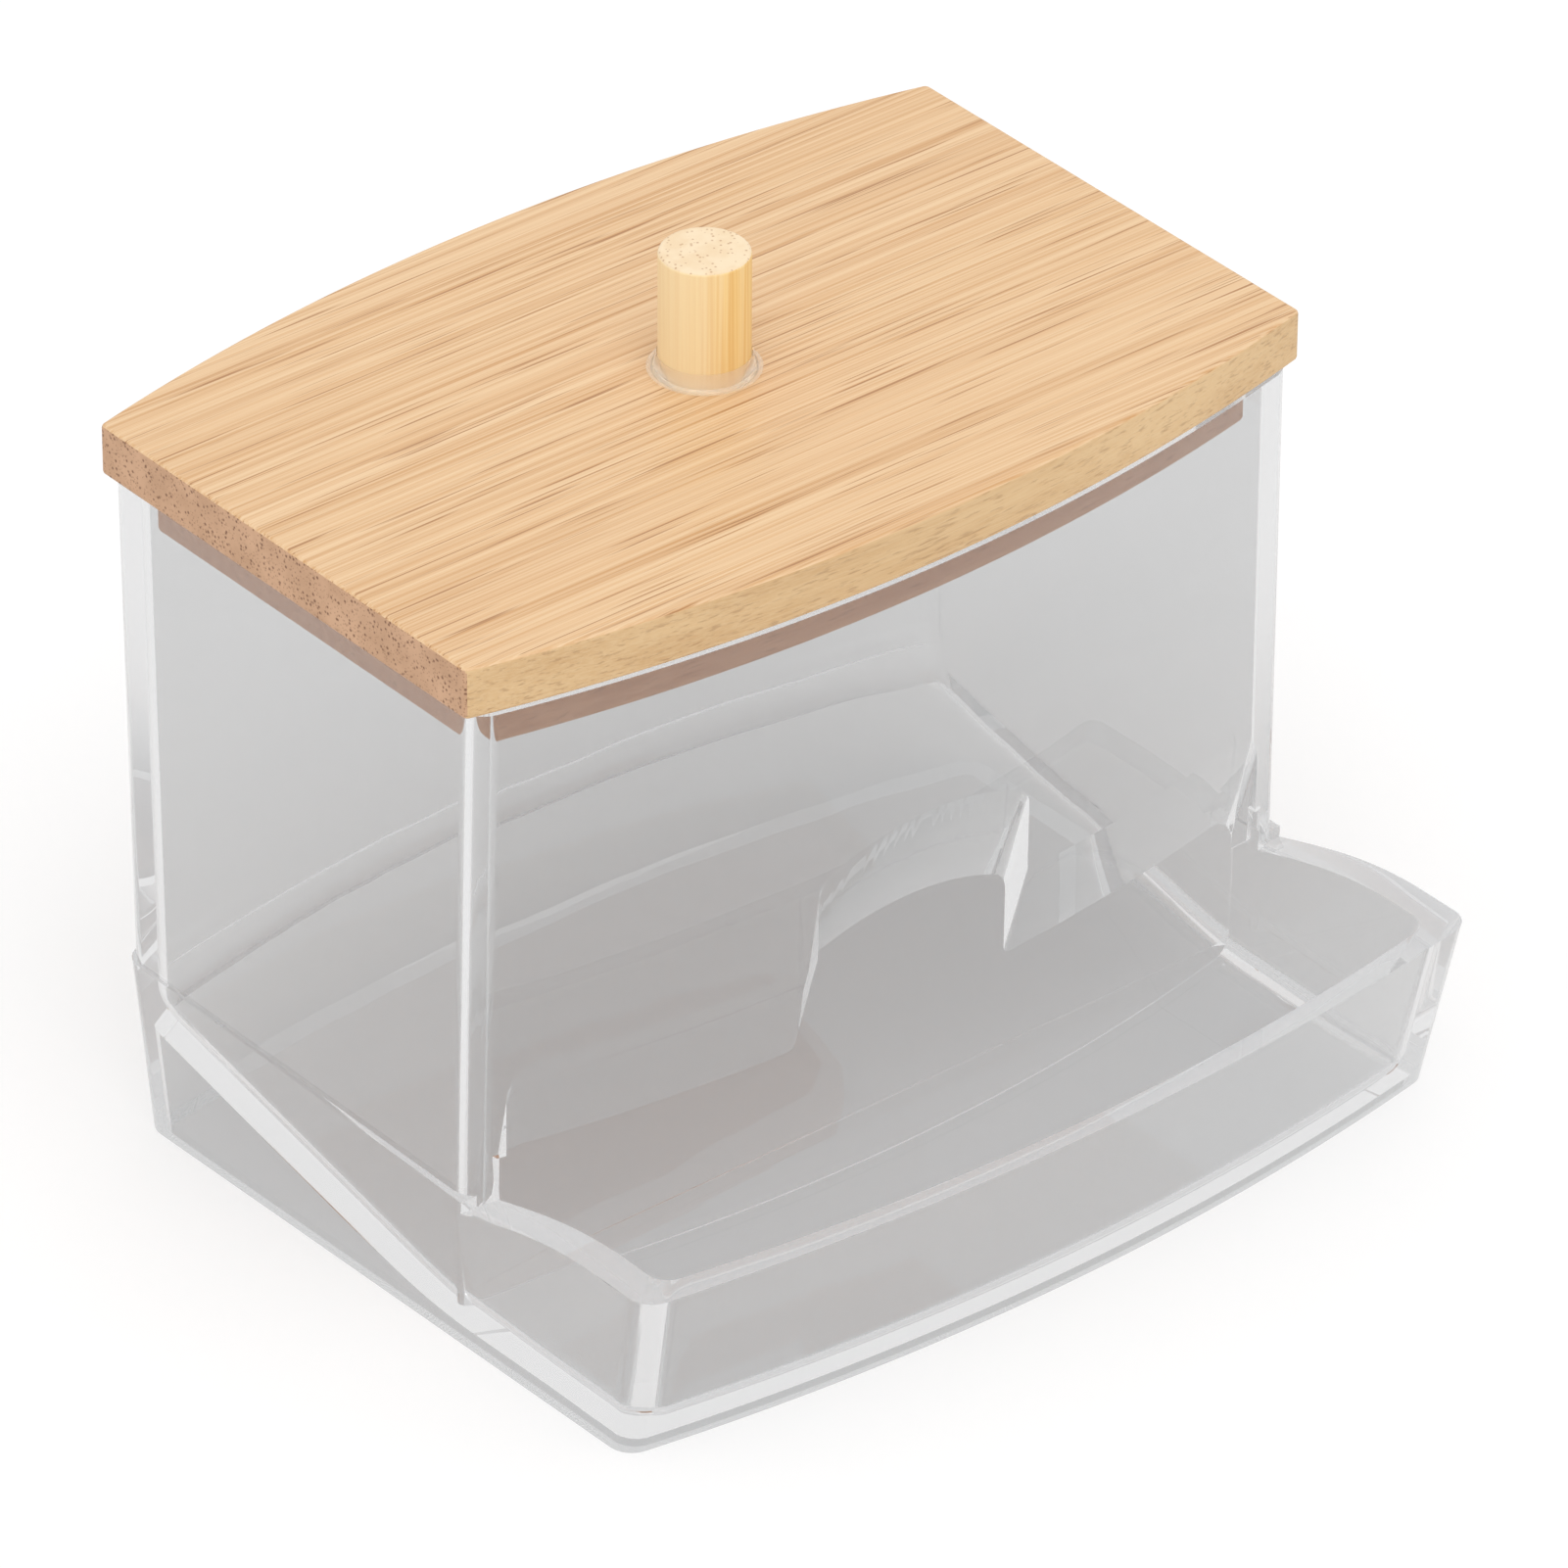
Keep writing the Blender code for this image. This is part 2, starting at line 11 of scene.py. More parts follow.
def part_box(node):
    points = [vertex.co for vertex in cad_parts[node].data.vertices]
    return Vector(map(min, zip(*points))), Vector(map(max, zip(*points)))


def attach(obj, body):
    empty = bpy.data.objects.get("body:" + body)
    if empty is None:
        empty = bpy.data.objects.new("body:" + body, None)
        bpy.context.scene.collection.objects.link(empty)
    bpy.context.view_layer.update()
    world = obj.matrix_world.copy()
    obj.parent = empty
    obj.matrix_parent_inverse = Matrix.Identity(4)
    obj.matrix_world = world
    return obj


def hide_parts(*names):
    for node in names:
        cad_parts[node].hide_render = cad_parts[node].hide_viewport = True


bl_info = {
    "name": "Swab dispenser box",
    "version": (1, 0, 0),
    "blender": (4, 5, 0),
    "location": "View3D > Sidebar > Swab box",
    "description": "Builds a clear swab dispenser box with a bamboo lid",
    "category": "Add Mesh",
}

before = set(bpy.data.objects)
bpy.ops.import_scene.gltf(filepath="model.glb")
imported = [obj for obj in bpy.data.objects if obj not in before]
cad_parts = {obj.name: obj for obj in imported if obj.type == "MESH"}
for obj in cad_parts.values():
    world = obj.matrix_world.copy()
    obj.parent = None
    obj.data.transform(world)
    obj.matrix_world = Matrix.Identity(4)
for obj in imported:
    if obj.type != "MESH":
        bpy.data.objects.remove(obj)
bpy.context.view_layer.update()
PLATE_LOW, PLATE_HIGH = (Vector(corner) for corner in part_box("lid_plate"))
PLUG_LOW, PLUG_HIGH = (Vector(corner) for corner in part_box("lid_plug"))
KNOB_LOW, KNOB_HIGH = (Vector(corner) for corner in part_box("lid_knob"))
BODY_LOW, BODY_HIGH = (Vector(corner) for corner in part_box("clear_body"))
GLUE_LOW, GLUE_HIGH = (Vector(corner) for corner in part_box("knob_glue_bead"))

# A plan edge: half its width, the y of its corners and how far its middle bows out beyond them
Edge = namedtuple("Edge", "half_width corner_y bow")

HOPPER_CENTRE_Y = (PLATE_LOW.y + PLATE_HIGH.y) / 2
MM = 0.001

# Lid
LID_BOW = 0.0062
LID_CORNER_RADIUS = 0.0007
PLUG_BOW = 0.0050
PLUG_CORNER_RADIUS = 0.0008

# Hopper walls
HOPPER_TOP = Edge(0.0490, 0.0274, 0.0061)
HOPPER_CREASE = Edge(0.0498, 0.0266, 0.0061)
HOPPER_CREASE_BACK_Y = 0.0254
HOPPER_CORNER_RADIUS = 0.0028
HOPPER_INNER_CORNER_RADIUS = 0.0012
HOPPER_INNER_BACK_RADIUS = 0.0030
RAMP_FILLET = 0.0020

# Lower body
CREASE_Z = 0.0166
BASE_FRONT = Edge(0.0495, 0.0494, 0.0046)
BASE_BACK = Edge(0.0512, 0.0214, 0.0052)
RIM_FRONT = Edge(0.0505, 0.0535, 0.0043)
RIM_BACK = Edge(0.0499, 0.0264, 0.0058)
BODY_CORNER_RADIUS = 0.0026
RIM_Z = 0.0194
RIM_LOW_Z = 0.0154
RIM_RISE_RUN = 0.0200
TRAY_SIDE_WALL = 0.0037
TRAY_FRONT_WALL = 0.0021
TRAY_CORNER_RADIUS = 0.0024
TRAY_FLOOR_FILLET = 0.0020

# Ramp
RAMP_FOOT_Y = 0.0230
RAMP_FOOT_Z = 0.0024
RAMP_TOP_Y = 0.0240
RAMP_TOP_Z = 0.0124
RAMP_FOOT_BLEND = 0.0060
RAMP_THICKNESS = 0.0019
FLOOR_Z = 0.0027
FLOOR_THICKNESS = 0.0017
SKIRT_WALL = 0.0023

# Mouth and finger notch
MOUTH_TOP_Z = 0.0189
MOUTH_CORNER_RADIUS = 0.0036
MOUTH_LIP_RISE = 0.0106
MOUTH_LOW_Z = 0.0090
UNDER_WALL_Z = 0.0140
NOTCH_HALF_WIDTH = 0.0128
NOTCH_TOP_Z = 0.0305
NOTCH_CROWN = 0.0030
NOTCH_SHOULDER_RADIUS = 0.0024
NOTCH_FOOT_RADIUS = 0.0008
MOUTH_SHARES = (-0.5, 1.7)

# Knob and glue
SOCKET_GAP = 0.3 * MM
BEAD_GAP = 0.1 * MM
BEAD_WIDTH = 1.0 * MM
BEAD_SINK = 0.2 * MM

# Modelling
OVERRUN = 0.0010
WELD = 0.000003
MERGE_DISTANCE = 0.00002
FLAT_ANGLE = math.radians(0.02)
BOW_SEGMENTS = 40
CORNER_SEGMENTS = 6
FILLET_SEGMENTS = 5
EASE_SEGMENTS = 3
BOARD_EASE_SEGMENTS = 2
ROUND_STEPS = 96
SHARP_ANGLE = math.radians(30)
FLAT_FACE_WEIGHT = 90

# Which faces count as a bowed wall: nearly upright, facing front or back, and no sliver
WALL_NORMAL_Z = 0.1
WALL_NORMAL_Y = 0.9
SMALLEST_WALL_FACE = 0.0000008

# Which edges of the hollow are rounded: from a face that looks down to an upright one that is not the front
DOWN_NORMAL_Z = -0.9
UPRIGHT_NORMAL_Z = 0.3
FRONT_NORMAL_Y = -0.3

# From where on a face of the lid or knob counts as its top, or as an end
TOP_NORMAL_Z = 0.6
END_NORMAL_X = 0.7

# Studio
FLOOR_HALF_SIZE = 3.0
KEY_PLACE = (-0.25, -0.38, 1.10)
KEY_TARGET = (0.0, 0.0, 0.04)
KEY_SIZE = 0.9
SENSOR_WIDTH = 36.0
CAMERA_REACH = 20.0

# What brings the lit floor up to the white of the backdrop
FLOOR_LIFT = 0.03

# The two faces of the first wall looked through are met before this bounce and at it
FIRST_WALL_BOUNCE = 1

# How many bounces a path may make before the clear plastic lets it straight out
DEEPEST_BOUNCE = 3


# Properties


def length(name, description, default):
    return bpy.props.FloatProperty(name=name, description=description, default=default, min=0.0,
                                   unit="LENGTH", subtype="DISTANCE", precision=5)


def colour(name, description, default):
    return bpy.props.FloatVectorProperty(name=name, description=description, default=default,
                                         min=0.0, max=1.0, size=3, subtype="COLOR")


def factor(name, description, default, high=1.0):
    return bpy.props.FloatProperty(name=name, description=description, default=default, min=0.0, max=high)


def srgb(red, green, blue):
    """Linear colour of a display colour given in 8-bit steps."""
    channels = []
    for value in (red, green, blue):
        share = value / 255
        channels.append(share / 12.92 if share <= 0.04045 else ((share + 0.055) / 1.055) ** 2.4)
    return tuple(channels)


# Tones that the grain mixes into the main colours, and a painted highlight for the knob's side towards the
# lamp
FACE_HONEY = srgb(216, 168, 112)
FACE_PALE = srgb(245, 217, 178)
FACE_DASH = srgb(172, 120, 74)
EDGE_STREAK = srgb(196, 153, 102)
EDGE_PALE = srgb(232, 204, 160)
EDGE_DASH = srgb(150, 104, 66)
END_CLOUD = srgb(164, 124, 92)
END_DOT = srgb(140, 98, 68)
BOARD_STREAK = srgb(212, 156, 122)
DOWEL_BAND = srgb(250, 224, 178)
DOWEL_STREAK = srgb(234, 184, 104)
# Painted highlight: the paler colour painted on the knob's side that faces the lamp
DOWEL_PAINTED_LIT_SIDE = srgb(255, 236, 194)
DOWEL_TOP = srgb(246, 224, 190)
DOWEL_TOP_CLOUD = srgb(236, 206, 164)
DOWEL_TOP_DOT = srgb(178, 128, 88)
GLUE_TINT = srgb(250, 240, 224)
GLUE_SHADOW = (0.97, 0.97, 0.97)


class SwabBoxPlastic(bpy.types.PropertyGroup):
    wall: length("Wall", "Thickness of the hopper's walls", 0.0031)
    edge: length("Edge", "Width of the eased edges of the moulding", 0.0004)
    # Painted shade: this grey, put on the first wall looked through only, stands in for the dim surroundings
    # seen through the clear plastic
    tint: colour("Tint", "What the first wall looked through leaves of white light", (0.575, 0.577, 0.580))
    shadow: colour("Shadow", "What one surface leaves of light that falls through it", (0.88, 0.886, 0.892))
    ior: factor("Index", "Refractive index of the plastic", 1.53, 2.0)
    waviness: factor("Waviness", "Strength of the slow ripple in the moulded faces", 0.06)


class SwabBoxBamboo(bpy.types.PropertyGroup):
    ease: length("Ease", "Width of the sanded edges of the lid", 0.0004)
    face: colour("Face", "Main colour of the lid's top", srgb(226, 185, 139))
    face_dark: colour("Face streak", "Darker streaks of the lid's top", srgb(202, 150, 96))
    edge: colour("Edge", "Main colour of the lid's long edges", srgb(224, 188, 139))
    end: colour("End", "Main colour of the lid's ends", srgb(210, 168, 134))
    pore: colour("Pore", "Dark fibre bundles", srgb(116, 78, 52))
    board: colour("Board", "Locating board under the lid", srgb(238, 186, 150))
    dowel: colour("Dowel", "Main colour of the knob's side", srgb(253, 220, 152))


class SwabBoxStudio(bpy.types.PropertyGroup):
    floor: colour("Floor", "Colour of the floor", (0.99, 0.99, 0.99))
    own_white: factor("Own white", "Share of the floor's white that no shadow reaches", 0.30)
    ambient: factor("Ambient", "Level of the light that comes from all round", 0.80, 4.0)
    key: bpy.props.FloatProperty(name="Key", description="Power of the large soft light", default=4.7,
                                 min=0.0, unit="POWER")
    lens: bpy.props.FloatProperty(name="Lens", description="Focal length on a 36 mm frame",
                                  default=291.3, min=1.0)
    azimuth: bpy.props.FloatProperty(name="Azimuth", description="Direction the camera looks in",
                                     default=math.radians(39.64), subtype="ANGLE", unit="ROTATION")
    elevation: bpy.props.FloatProperty(name="Elevation", description="How far the camera looks down",
                                       default=math.radians(33.144), subtype="ANGLE", unit="ROTATION")
    roll: bpy.props.FloatProperty(name="Roll", description="Tilt of the camera about its own line of sight",
                                  default=math.radians(0.3375), subtype="ANGLE", unit="ROTATION")
    place: bpy.props.FloatVectorProperty(name="Place", description="Where the camera stands", size=3,
                                         default=(-0.6400, -0.7845 + HOPPER_CENTRE_Y, 0.6897), subtype="XYZ",
                                         unit="LENGTH")


# Plan outlines


def inset(edge, amount):
    """The edge moved in by a wall's thickness; its arc keeps the same centre, so that the wall is even."""
    radius = bow_circle(edge, 1)[0] - amount
    half_width = edge.half_width - amount
    bow = radius - math.sqrt(radius ** 2 - half_width ** 2)
    return Edge(half_width, edge.corner_y + edge.bow - amount - bow, bow)


def mix(low, high, share):
    return Edge(*(a + (b - a) * share for a, b in zip(low, high)))


def bow_circle(edge, side):
    """Radius and centre y of the arc through an edge's corners; side is -1 at the front and 1 at the back."""
    radius = (edge.half_width ** 2 + edge.bow ** 2) / (2 * abs(edge.bow))
    reach = side * (edge.corner_y + edge.bow)
    return radius, reach - math.copysign(radius, side * edge.bow)


def bow_y(edge, side, x):
    radius, centre_y = bow_circle(edge, side)
    return centre_y + math.copysign(math.sqrt(radius ** 2 - x ** 2), side * edge.bow)


def arc_points(centre, start, end, segments):
    """Points from start to end, the short way round the centre."""
    first = start - centre
    turn = first.angle_signed(end - centre)
    points = []
    for step in range(segments + 1):
        angle = -turn * step / segments
        c, s = math.cos(angle), math.sin(angle)
        points.append(centre + Vector((c * first.x - s * first.y, s * first.x + c * first.y)))
    return points


def corner_arc(edge, side, foot, along, radius):
    """The rounded corner between the bowed edge and the straight side that runs along from foot."""
    bow_radius, centre_y = bow_circle(edge, side)
    centre = Vector((0, centre_y))
    inward = Vector((-along.y, along.x))
    offset = foot + inward * radius - centre
    half_b = offset.dot(along)
    root = math.sqrt(half_b ** 2 - offset.length_squared + (bow_radius - radius) ** 2)
    middle = centre + offset + along * (-half_b + side * root)
    on_bow = centre + (middle - centre).normalized() * bow_radius
    on_side = middle - inward * radius
    if side < 0:
        return arc_points(middle, on_bow, on_side, CORNER_SEGMENTS)
    return arc_points(middle, on_side, on_bow, CORNER_SEGMENTS)


def outline(front, back, front_radius, back_radius=0.0):
    """A closed plan outline, anticlockwise and symmetric about x = 0; radius zero keeps a sharp corner."""
    foot = Vector((front.half_width, -front.corner_y))
    head = Vector((back.half_width, back.corner_y))
    along = (head - foot).normalized()
    front_corner = corner_arc(front, -1, foot, along, front_radius) if front_radius else [foot]
    back_corner = corner_arc(back, 1, foot, along, back_radius) if back_radius else [head]
    right = []
    for step in range(BOW_SEGMENTS):
        x = front_corner[0].x * step / BOW_SEGMENTS
        right.append(Vector((x, bow_y(front, -1, x))))
    right += front_corner + back_corner
    for step in reversed(range(BOW_SEGMENTS)):
        x = back_corner[-1].x * step / BOW_SEGMENTS
        right.append(Vector((x, bow_y(back, 1, x))))
    left = [Vector((-point.x, point.y)) for point in reversed(right[1:-1])]
    return right + left


# Solids


def loft(sections):
    """A closed solid through plan outlines, each given with its height, from the lowest up."""
    bm = bmesh.new()
    rings = [[bm.verts.new((point.x, point.y, z)) for point in points] for points, z in sections]
    for low, high in zip(rings, rings[1:]):
        count = len(low)
        for i in range(count):
            bm.faces.new((low[i], low[(i + 1) % count], high[(i + 1) % count], high[i]))
    bm.faces.new(reversed(rings[0]))
    bm.faces.new(rings[-1])
    return bm


def push_out(bm, face, offset):
    """Give the mesh's only face a depth."""
    extruded = bmesh.ops.extrude_face_region(bm, geom=[face])
    moved = [item for item in extruded["geom"] if isinstance(item, bmesh.types.BMVert)]
    bmesh.ops.translate(bm, vec=offset, verts=moved)


def side_prism(points, half_width):
    """A prism across X from a side profile of (y, z) points."""
    bm = bmesh.new()
    face = bm.faces.new([bm.verts.new((-half_width, y, z)) for y, z in points])
    push_out(bm, face, (2 * half_width, 0, 0))
    return bm


def turned(profile, steps):
    """A solid of revolution about Z from a closed (r, z) profile."""
    bm = bmesh.new()
    verts = [bm.verts.new((r, 0, z)) for r, z in profile]
    edges = [bm.edges.new((verts[i], verts[(i + 1) % len(verts)])) for i in range(len(verts))]
    bmesh.ops.spin(bm, geom=verts + edges, cent=(0, 0, 0), axis=(0, 0, 1), angle=math.tau, steps=steps,
                   use_merge=True)
    bmesh.ops.remove_doubles(bm, verts=bm.verts, dist=WELD)
    return bm


def add_object(name, bm, materials=()):
    """An object at the origin whose mesh is moved to the hopper's centre."""
    bmesh.ops.translate(bm, vec=(0, HOPPER_CENTRE_Y, 0), verts=bm.verts)
    bmesh.ops.recalc_face_normals(bm, faces=bm.faces)
    mesh = bpy.data.meshes.new(name)
    bm.to_mesh(mesh)
    bm.free()
    for material in materials:
        mesh.materials.append(material)
    piece = bpy.data.objects.new(name, mesh)
    bpy.context.scene.collection.objects.link(piece)
    return piece


def carve(piece, other, operation):
    """Cut or join a helper into the piece and remove the helper."""
    modifier = piece.modifiers.new(operation.lower(), "BOOLEAN")
    modifier.operation = operation
    modifier.solver = "EXACT"
    modifier.object = other
    apply_modifiers(piece)
    bpy.data.objects.remove(other, do_unlink=True)


def apply_modifiers(piece):
    depsgraph = bpy.context.evaluated_depsgraph_get()
    depsgraph.update()
    mesh = bpy.data.meshes.new_from_object(piece.evaluated_get(depsgraph), depsgraph=depsgraph)
    piece.modifiers.clear()
    old = piece.data
    piece.data = mesh
    mesh.name = old.name
    bpy.data.meshes.remove(old)


def tidy_faces(piece, distance, angle):
    """Weld near points and merge faces that lie in one plane, so that edges can be eased evenly."""
    bm = bmesh.new()
    bm.from_mesh(piece.data)
    bmesh.ops.remove_doubles(bm, verts=bm.verts, dist=distance)
    bmesh.ops.dissolve_limit(bm, angle_limit=angle, verts=bm.verts, edges=bm.edges)
    bm.to_mesh(piece.data)
    bm.free()


def ease_edges(piece, width, segments):
    """Round the sharp edges and give the flat faces flat shading up to them."""
    bevel = piece.modifiers.new("eased_edges", "BEVEL")
    bevel.limit_method = "ANGLE"
    bevel.angle_limit = SHARP_ANGLE
    bevel.width = width
    bevel.segments = segments
    bevel.use_clamp_overlap = True
    bevel.loop_slide = False
    apply_modifiers(piece)
    piece.data.shade_smooth()
    normals = piece.modifiers.new("face_normals", "WEIGHTED_NORMAL")
    normals.mode = "FACE_AREA_WITH_ANGLE"
    normals.weight = FLAT_FACE_WEIGHT
    normals.keep_sharp = True
    apply_modifiers(piece)


def even_wall_normals(piece):
    """Give the bowed walls the normals of their true arcs, alike on both faces, so that they don't ripple."""
    mesh = piece.data
    normals = [corner.vector.copy() for corner in mesh.corner_normals]
    for face in mesh.polygons:
        centre_z = face.center.z
        side = 1 if face.center.y > HOPPER_CENTRE_Y else -1
        leaning = abs(face.normal.z) > WALL_NORMAL_Z or abs(face.normal.y) < WALL_NORMAL_Y
        if leaning or face.area < SMALLEST_WALL_FACE:
            continue
        if centre_z > CREASE_Z:
            outer = mix(HOPPER_CREASE, HOPPER_TOP, hopper_share(centre_z))
        elif side < 0:
            outer = mix(BASE_FRONT, RIM_FRONT, centre_z / RIM_Z)
        else:
            outer = mix(BASE_BACK, RIM_BACK, centre_z / RIM_Z)
        radius = bow_circle(outer, 1)[0]
        facing = math.copysign(1, face.normal.y * side)
        level = math.sqrt(1 - face.normal.z ** 2)
        for index in face.loop_indices:
            x = mesh.vertices[mesh.loops[index].vertex_index].co.x / radius
            y = side * math.sqrt(1 - x ** 2)
            normals[index] = Vector((facing * x * level, facing * y * level, face.normal.z))
    mesh.normals_split_custom_set([normal.normalized() for normal in normals])


# Side profiles


def ramp_profile(drop, foot_z, reach):
    """The ramp's line from front to back, drop below its top face, blended into the level part at foot_z."""
    slope = (RAMP_TOP_Z - RAMP_FOOT_Z) / (RAMP_TOP_Y + RAMP_FOOT_Y)
    meet_y = -RAMP_FOOT_Y + (foot_z - RAMP_FOOT_Z + drop) / slope
    points = [(-reach, foot_z)]
    steps = 4 * FILLET_SEGMENTS
    for step in range(steps + 1):
        share = step / steps
        points.append((meet_y + RAMP_FOOT_BLEND * (2 * share - 1),
                       foot_z + slope * RAMP_FOOT_BLEND * share ** 2))
    points.append((reach, foot_z + slope * (reach - meet_y)))
    return points


def rim_profile():
    """Height of the tray's side rims from the hopper out to the front, then level round the front."""
    points = []
    steps = 4 * CORNER_SEGMENTS
    for step in range(steps + 1):
        share = step / steps
        z = RIM_LOW_Z + (RIM_Z - RIM_LOW_Z) * math.sin(share * math.pi / 2)
        points.append((-HOPPER_CREASE.corner_y - RIM_RISE_RUN * share, z))
    return points


# Clear body


def hopper_share(z):
    return (z - CREASE_Z) / (BODY_HIGH.z - CREASE_Z)


def hopper_outline(z, amount, radius, back_radius):
    share = hopper_share(z)
    crease_back = Edge(HOPPER_CREASE.half_width, HOPPER_CREASE_BACK_Y, HOPPER_CREASE.bow)
    front = inset(mix(HOPPER_CREASE, HOPPER_TOP, share), amount)
    back = inset(mix(crease_back, HOPPER_TOP, share), amount)
    return outline(front, back, radius, back_radius)


def lower_solid():
    top_z = RIM_Z + OVERRUN
    share = top_z / RIM_Z
    return loft([
        (outline(BASE_FRONT, BASE_BACK, BODY_CORNER_RADIUS, BODY_CORNER_RADIUS), 0),
        (outline(mix(BASE_FRONT, RIM_FRONT, share), mix(BASE_BACK, RIM_BACK, share), BODY_CORNER_RADIUS,
                 BODY_CORNER_RADIUS), top_z),
    ])


def rim_trim():
    """Everything above the crease and the tray's rim."""
    reach = RIM_FRONT.corner_y + RIM_FRONT.bow + OVERRUN
    high = RIM_Z + 2 * OVERRUN
    points = [(reach, CREASE_Z), (-HOPPER_CREASE.corner_y, CREASE_Z)] + rim_profile()
    points += [(-reach, RIM_Z), (-reach, high), (reach, high)]
    return side_prism(points, BASE_BACK.half_width + OVERRUN)


def hopper_solid():
    return loft([
        (hopper_outline(UNDER_WALL_Z, 0, HOPPER_CORNER_RADIUS, HOPPER_CORNER_RADIUS), UNDER_WALL_Z),
        (hopper_outline(BODY_HIGH.z, 0, HOPPER_CORNER_RADIUS, HOPPER_CORNER_RADIUS), BODY_HIGH.z),
    ])


def hopper_hollow(wall):
    high = BODY_HIGH.z + OVERRUN
    return loft([
        (hopper_outline(0, wall, HOPPER_INNER_CORNER_RADIUS, HOPPER_INNER_BACK_RADIUS), 0),
        (hopper_outline(high, wall, HOPPER_INNER_CORNER_RADIUS, HOPPER_INNER_BACK_RADIUS), high),
    ])


def above_ramp():
    reach = RIM_FRONT.corner_y
    high = BODY_HIGH.z + 2 * OVERRUN
    points = ramp_profile(0, RAMP_FOOT_Z, reach) + [(reach, high), (-reach, high)]
    return side_prism(points, PLATE_HIGH.x)


def fillet_ramp(hollow):
    """Round the hollow's lower edge along the side and back walls."""
    bm = bmesh.new()
    bm.from_mesh(hollow.data)
    bmesh.ops.remove_doubles(bm, verts=bm.verts, dist=WELD)
    bm.normal_update()
    edges = []
    for edge in bm.edges:
        if len(edge.link_faces) == 2:
            low, high = sorted(edge.link_faces, key=lambda face: face.normal.z)
            upright = abs(high.normal.z) < UPRIGHT_NORMAL_Z and high.normal.y > FRONT_NORMAL_Y
            if low.normal.z < DOWN_NORMAL_Z and upright:
                edges.append(edge)
    bmesh.ops.bevel(bm, geom=edges, offset=RAMP_FILLET, offset_type="OFFSET", segments=FILLET_SEGMENTS,
                    profile=0.5, affect="EDGES", clamp_overlap=False)
    bm.to_mesh(hollow.data)
    bm.free()


def inner_front(z, wall):
    """The front wall's inner face at one height."""
    return inset(mix(HOPPER_CREASE, HOPPER_TOP, hopper_share(z)), wall)


def tray_front(z):
    """The inside of the tray's front and side walls at one height."""
    outer = mix(BASE_FRONT, RIM_FRONT, z / RIM_Z)
    return Edge(outer.half_width - TRAY_SIDE_WALL, outer.corner_y - TRAY_FRONT_WALL, outer.bow)


def tray_section(z, wall, back_inset, fillet_inset=0.0):
    front = inset(tray_front(z), fillet_inset)
    inner = inner_front(z, wall)
    back = Edge(front.half_width, -(inner.corner_y + back_inset), -inner.bow)
    return outline(front, back, TRAY_CORNER_RADIUS - fillet_inset), z


def tray_hollow(wall):
    """The tray's inside; its back edge runs under the front wall and stops short of the wall's own lip."""
    overlap = -OVERRUN / 2
    behind_face = wall - OVERRUN
    sections = []
    for step in range(FILLET_SEGMENTS + 1):
        angle = math.pi / 2 * step / FILLET_SEGMENTS
        z = FLOOR_Z + TRAY_FLOOR_FILLET * (1 - math.cos(angle))
        sections.append(tray_section(z, wall, overlap, TRAY_FLOOR_FILLET * (1 - math.sin(angle))))
    sections.append(tray_section(UNDER_WALL_Z, wall, overlap))
    sections.append(tray_section((UNDER_WALL_Z + MOUTH_TOP_Z) / 2, wall, behind_face))
    sections.append(tray_section(RIM_Z + OVERRUN, wall, behind_face))
    return loft(sections)


def mouth_outline():
    """The opening on the wall's inner face as (x, z) points: the mouth with the arched notch above it."""
    half = tray_front(FLOOR_Z).half_width
    right = [Vector((half, MOUTH_LOW_Z))]
    centre = Vector((half - MOUTH_CORNER_RADIUS, MOUTH_TOP_Z - MOUTH_CORNER_RADIUS))
    right += arc_points(centre, centre + Vector((MOUTH_CORNER_RADIUS, 0)),
                        centre + Vector((0, MOUTH_CORNER_RADIUS)), CORNER_SEGMENTS)
    foot = Vector((NOTCH_HALF_WIDTH + NOTCH_FOOT_RADIUS, MOUTH_TOP_Z + NOTCH_FOOT_RADIUS))
    right += arc_points(foot, foot - Vector((0, NOTCH_FOOT_RADIUS)), foot - Vector((NOTCH_FOOT_RADIUS, 0)),
                        FILLET_SEGMENTS)
    crown = (NOTCH_HALF_WIDTH ** 2 + NOTCH_CROWN ** 2) / (2 * NOTCH_CROWN)
    middle = Vector((0, NOTCH_TOP_Z - crown))
    radius = NOTCH_SHOULDER_RADIUS
    shoulder_x = NOTCH_HALF_WIDTH - radius
    shoulder = Vector((shoulder_x, middle.y + math.sqrt((crown - radius) ** 2 - shoulder_x ** 2)))
    on_crown = middle + (shoulder - middle).normalized() * crown
    right += arc_points(shoulder, shoulder + Vector((radius, 0)), on_crown, CORNER_SEGMENTS)
    right += arc_points(middle, on_crown, middle + Vector((0, crown)), BOW_SEGMENTS // 2)[1:]
    left = [Vector((-point.x, point.y)) for point in reversed(right[:-1])]
    return right + left


def mouth_cutter(wall):
    """The opening as a flat prism whose y counts wall thicknesses, bent along the wall with a rising lip."""
    inner = inner_front(MOUTH_TOP_Z, wall)
    half = tray_front(FLOOR_Z).half_width
    bm = bmesh.new()
    face = bm.faces.new([bm.verts.new((point.x, MOUTH_SHARES[0], point.y)) for point in mouth_outline()])
    push_out(bm, face, (0, MOUTH_SHARES[1] - MOUTH_SHARES[0], 0))
    for step in range(1, 2 * BOW_SEGMENTS):
        bmesh.ops.bisect_plane(bm, geom=[*bm.verts, *bm.edges, *bm.faces], dist=WELD,
                               plane_co=(half * (step / BOW_SEGMENTS - 1), 0, 0), plane_no=(1, 0, 0))
    for vert in bm.verts:
        x, share, z = vert.co
        vert.co = (x, bow_y(inner, -1, x) - wall * share, z + MOUTH_LIP_RISE * share)
    return bm


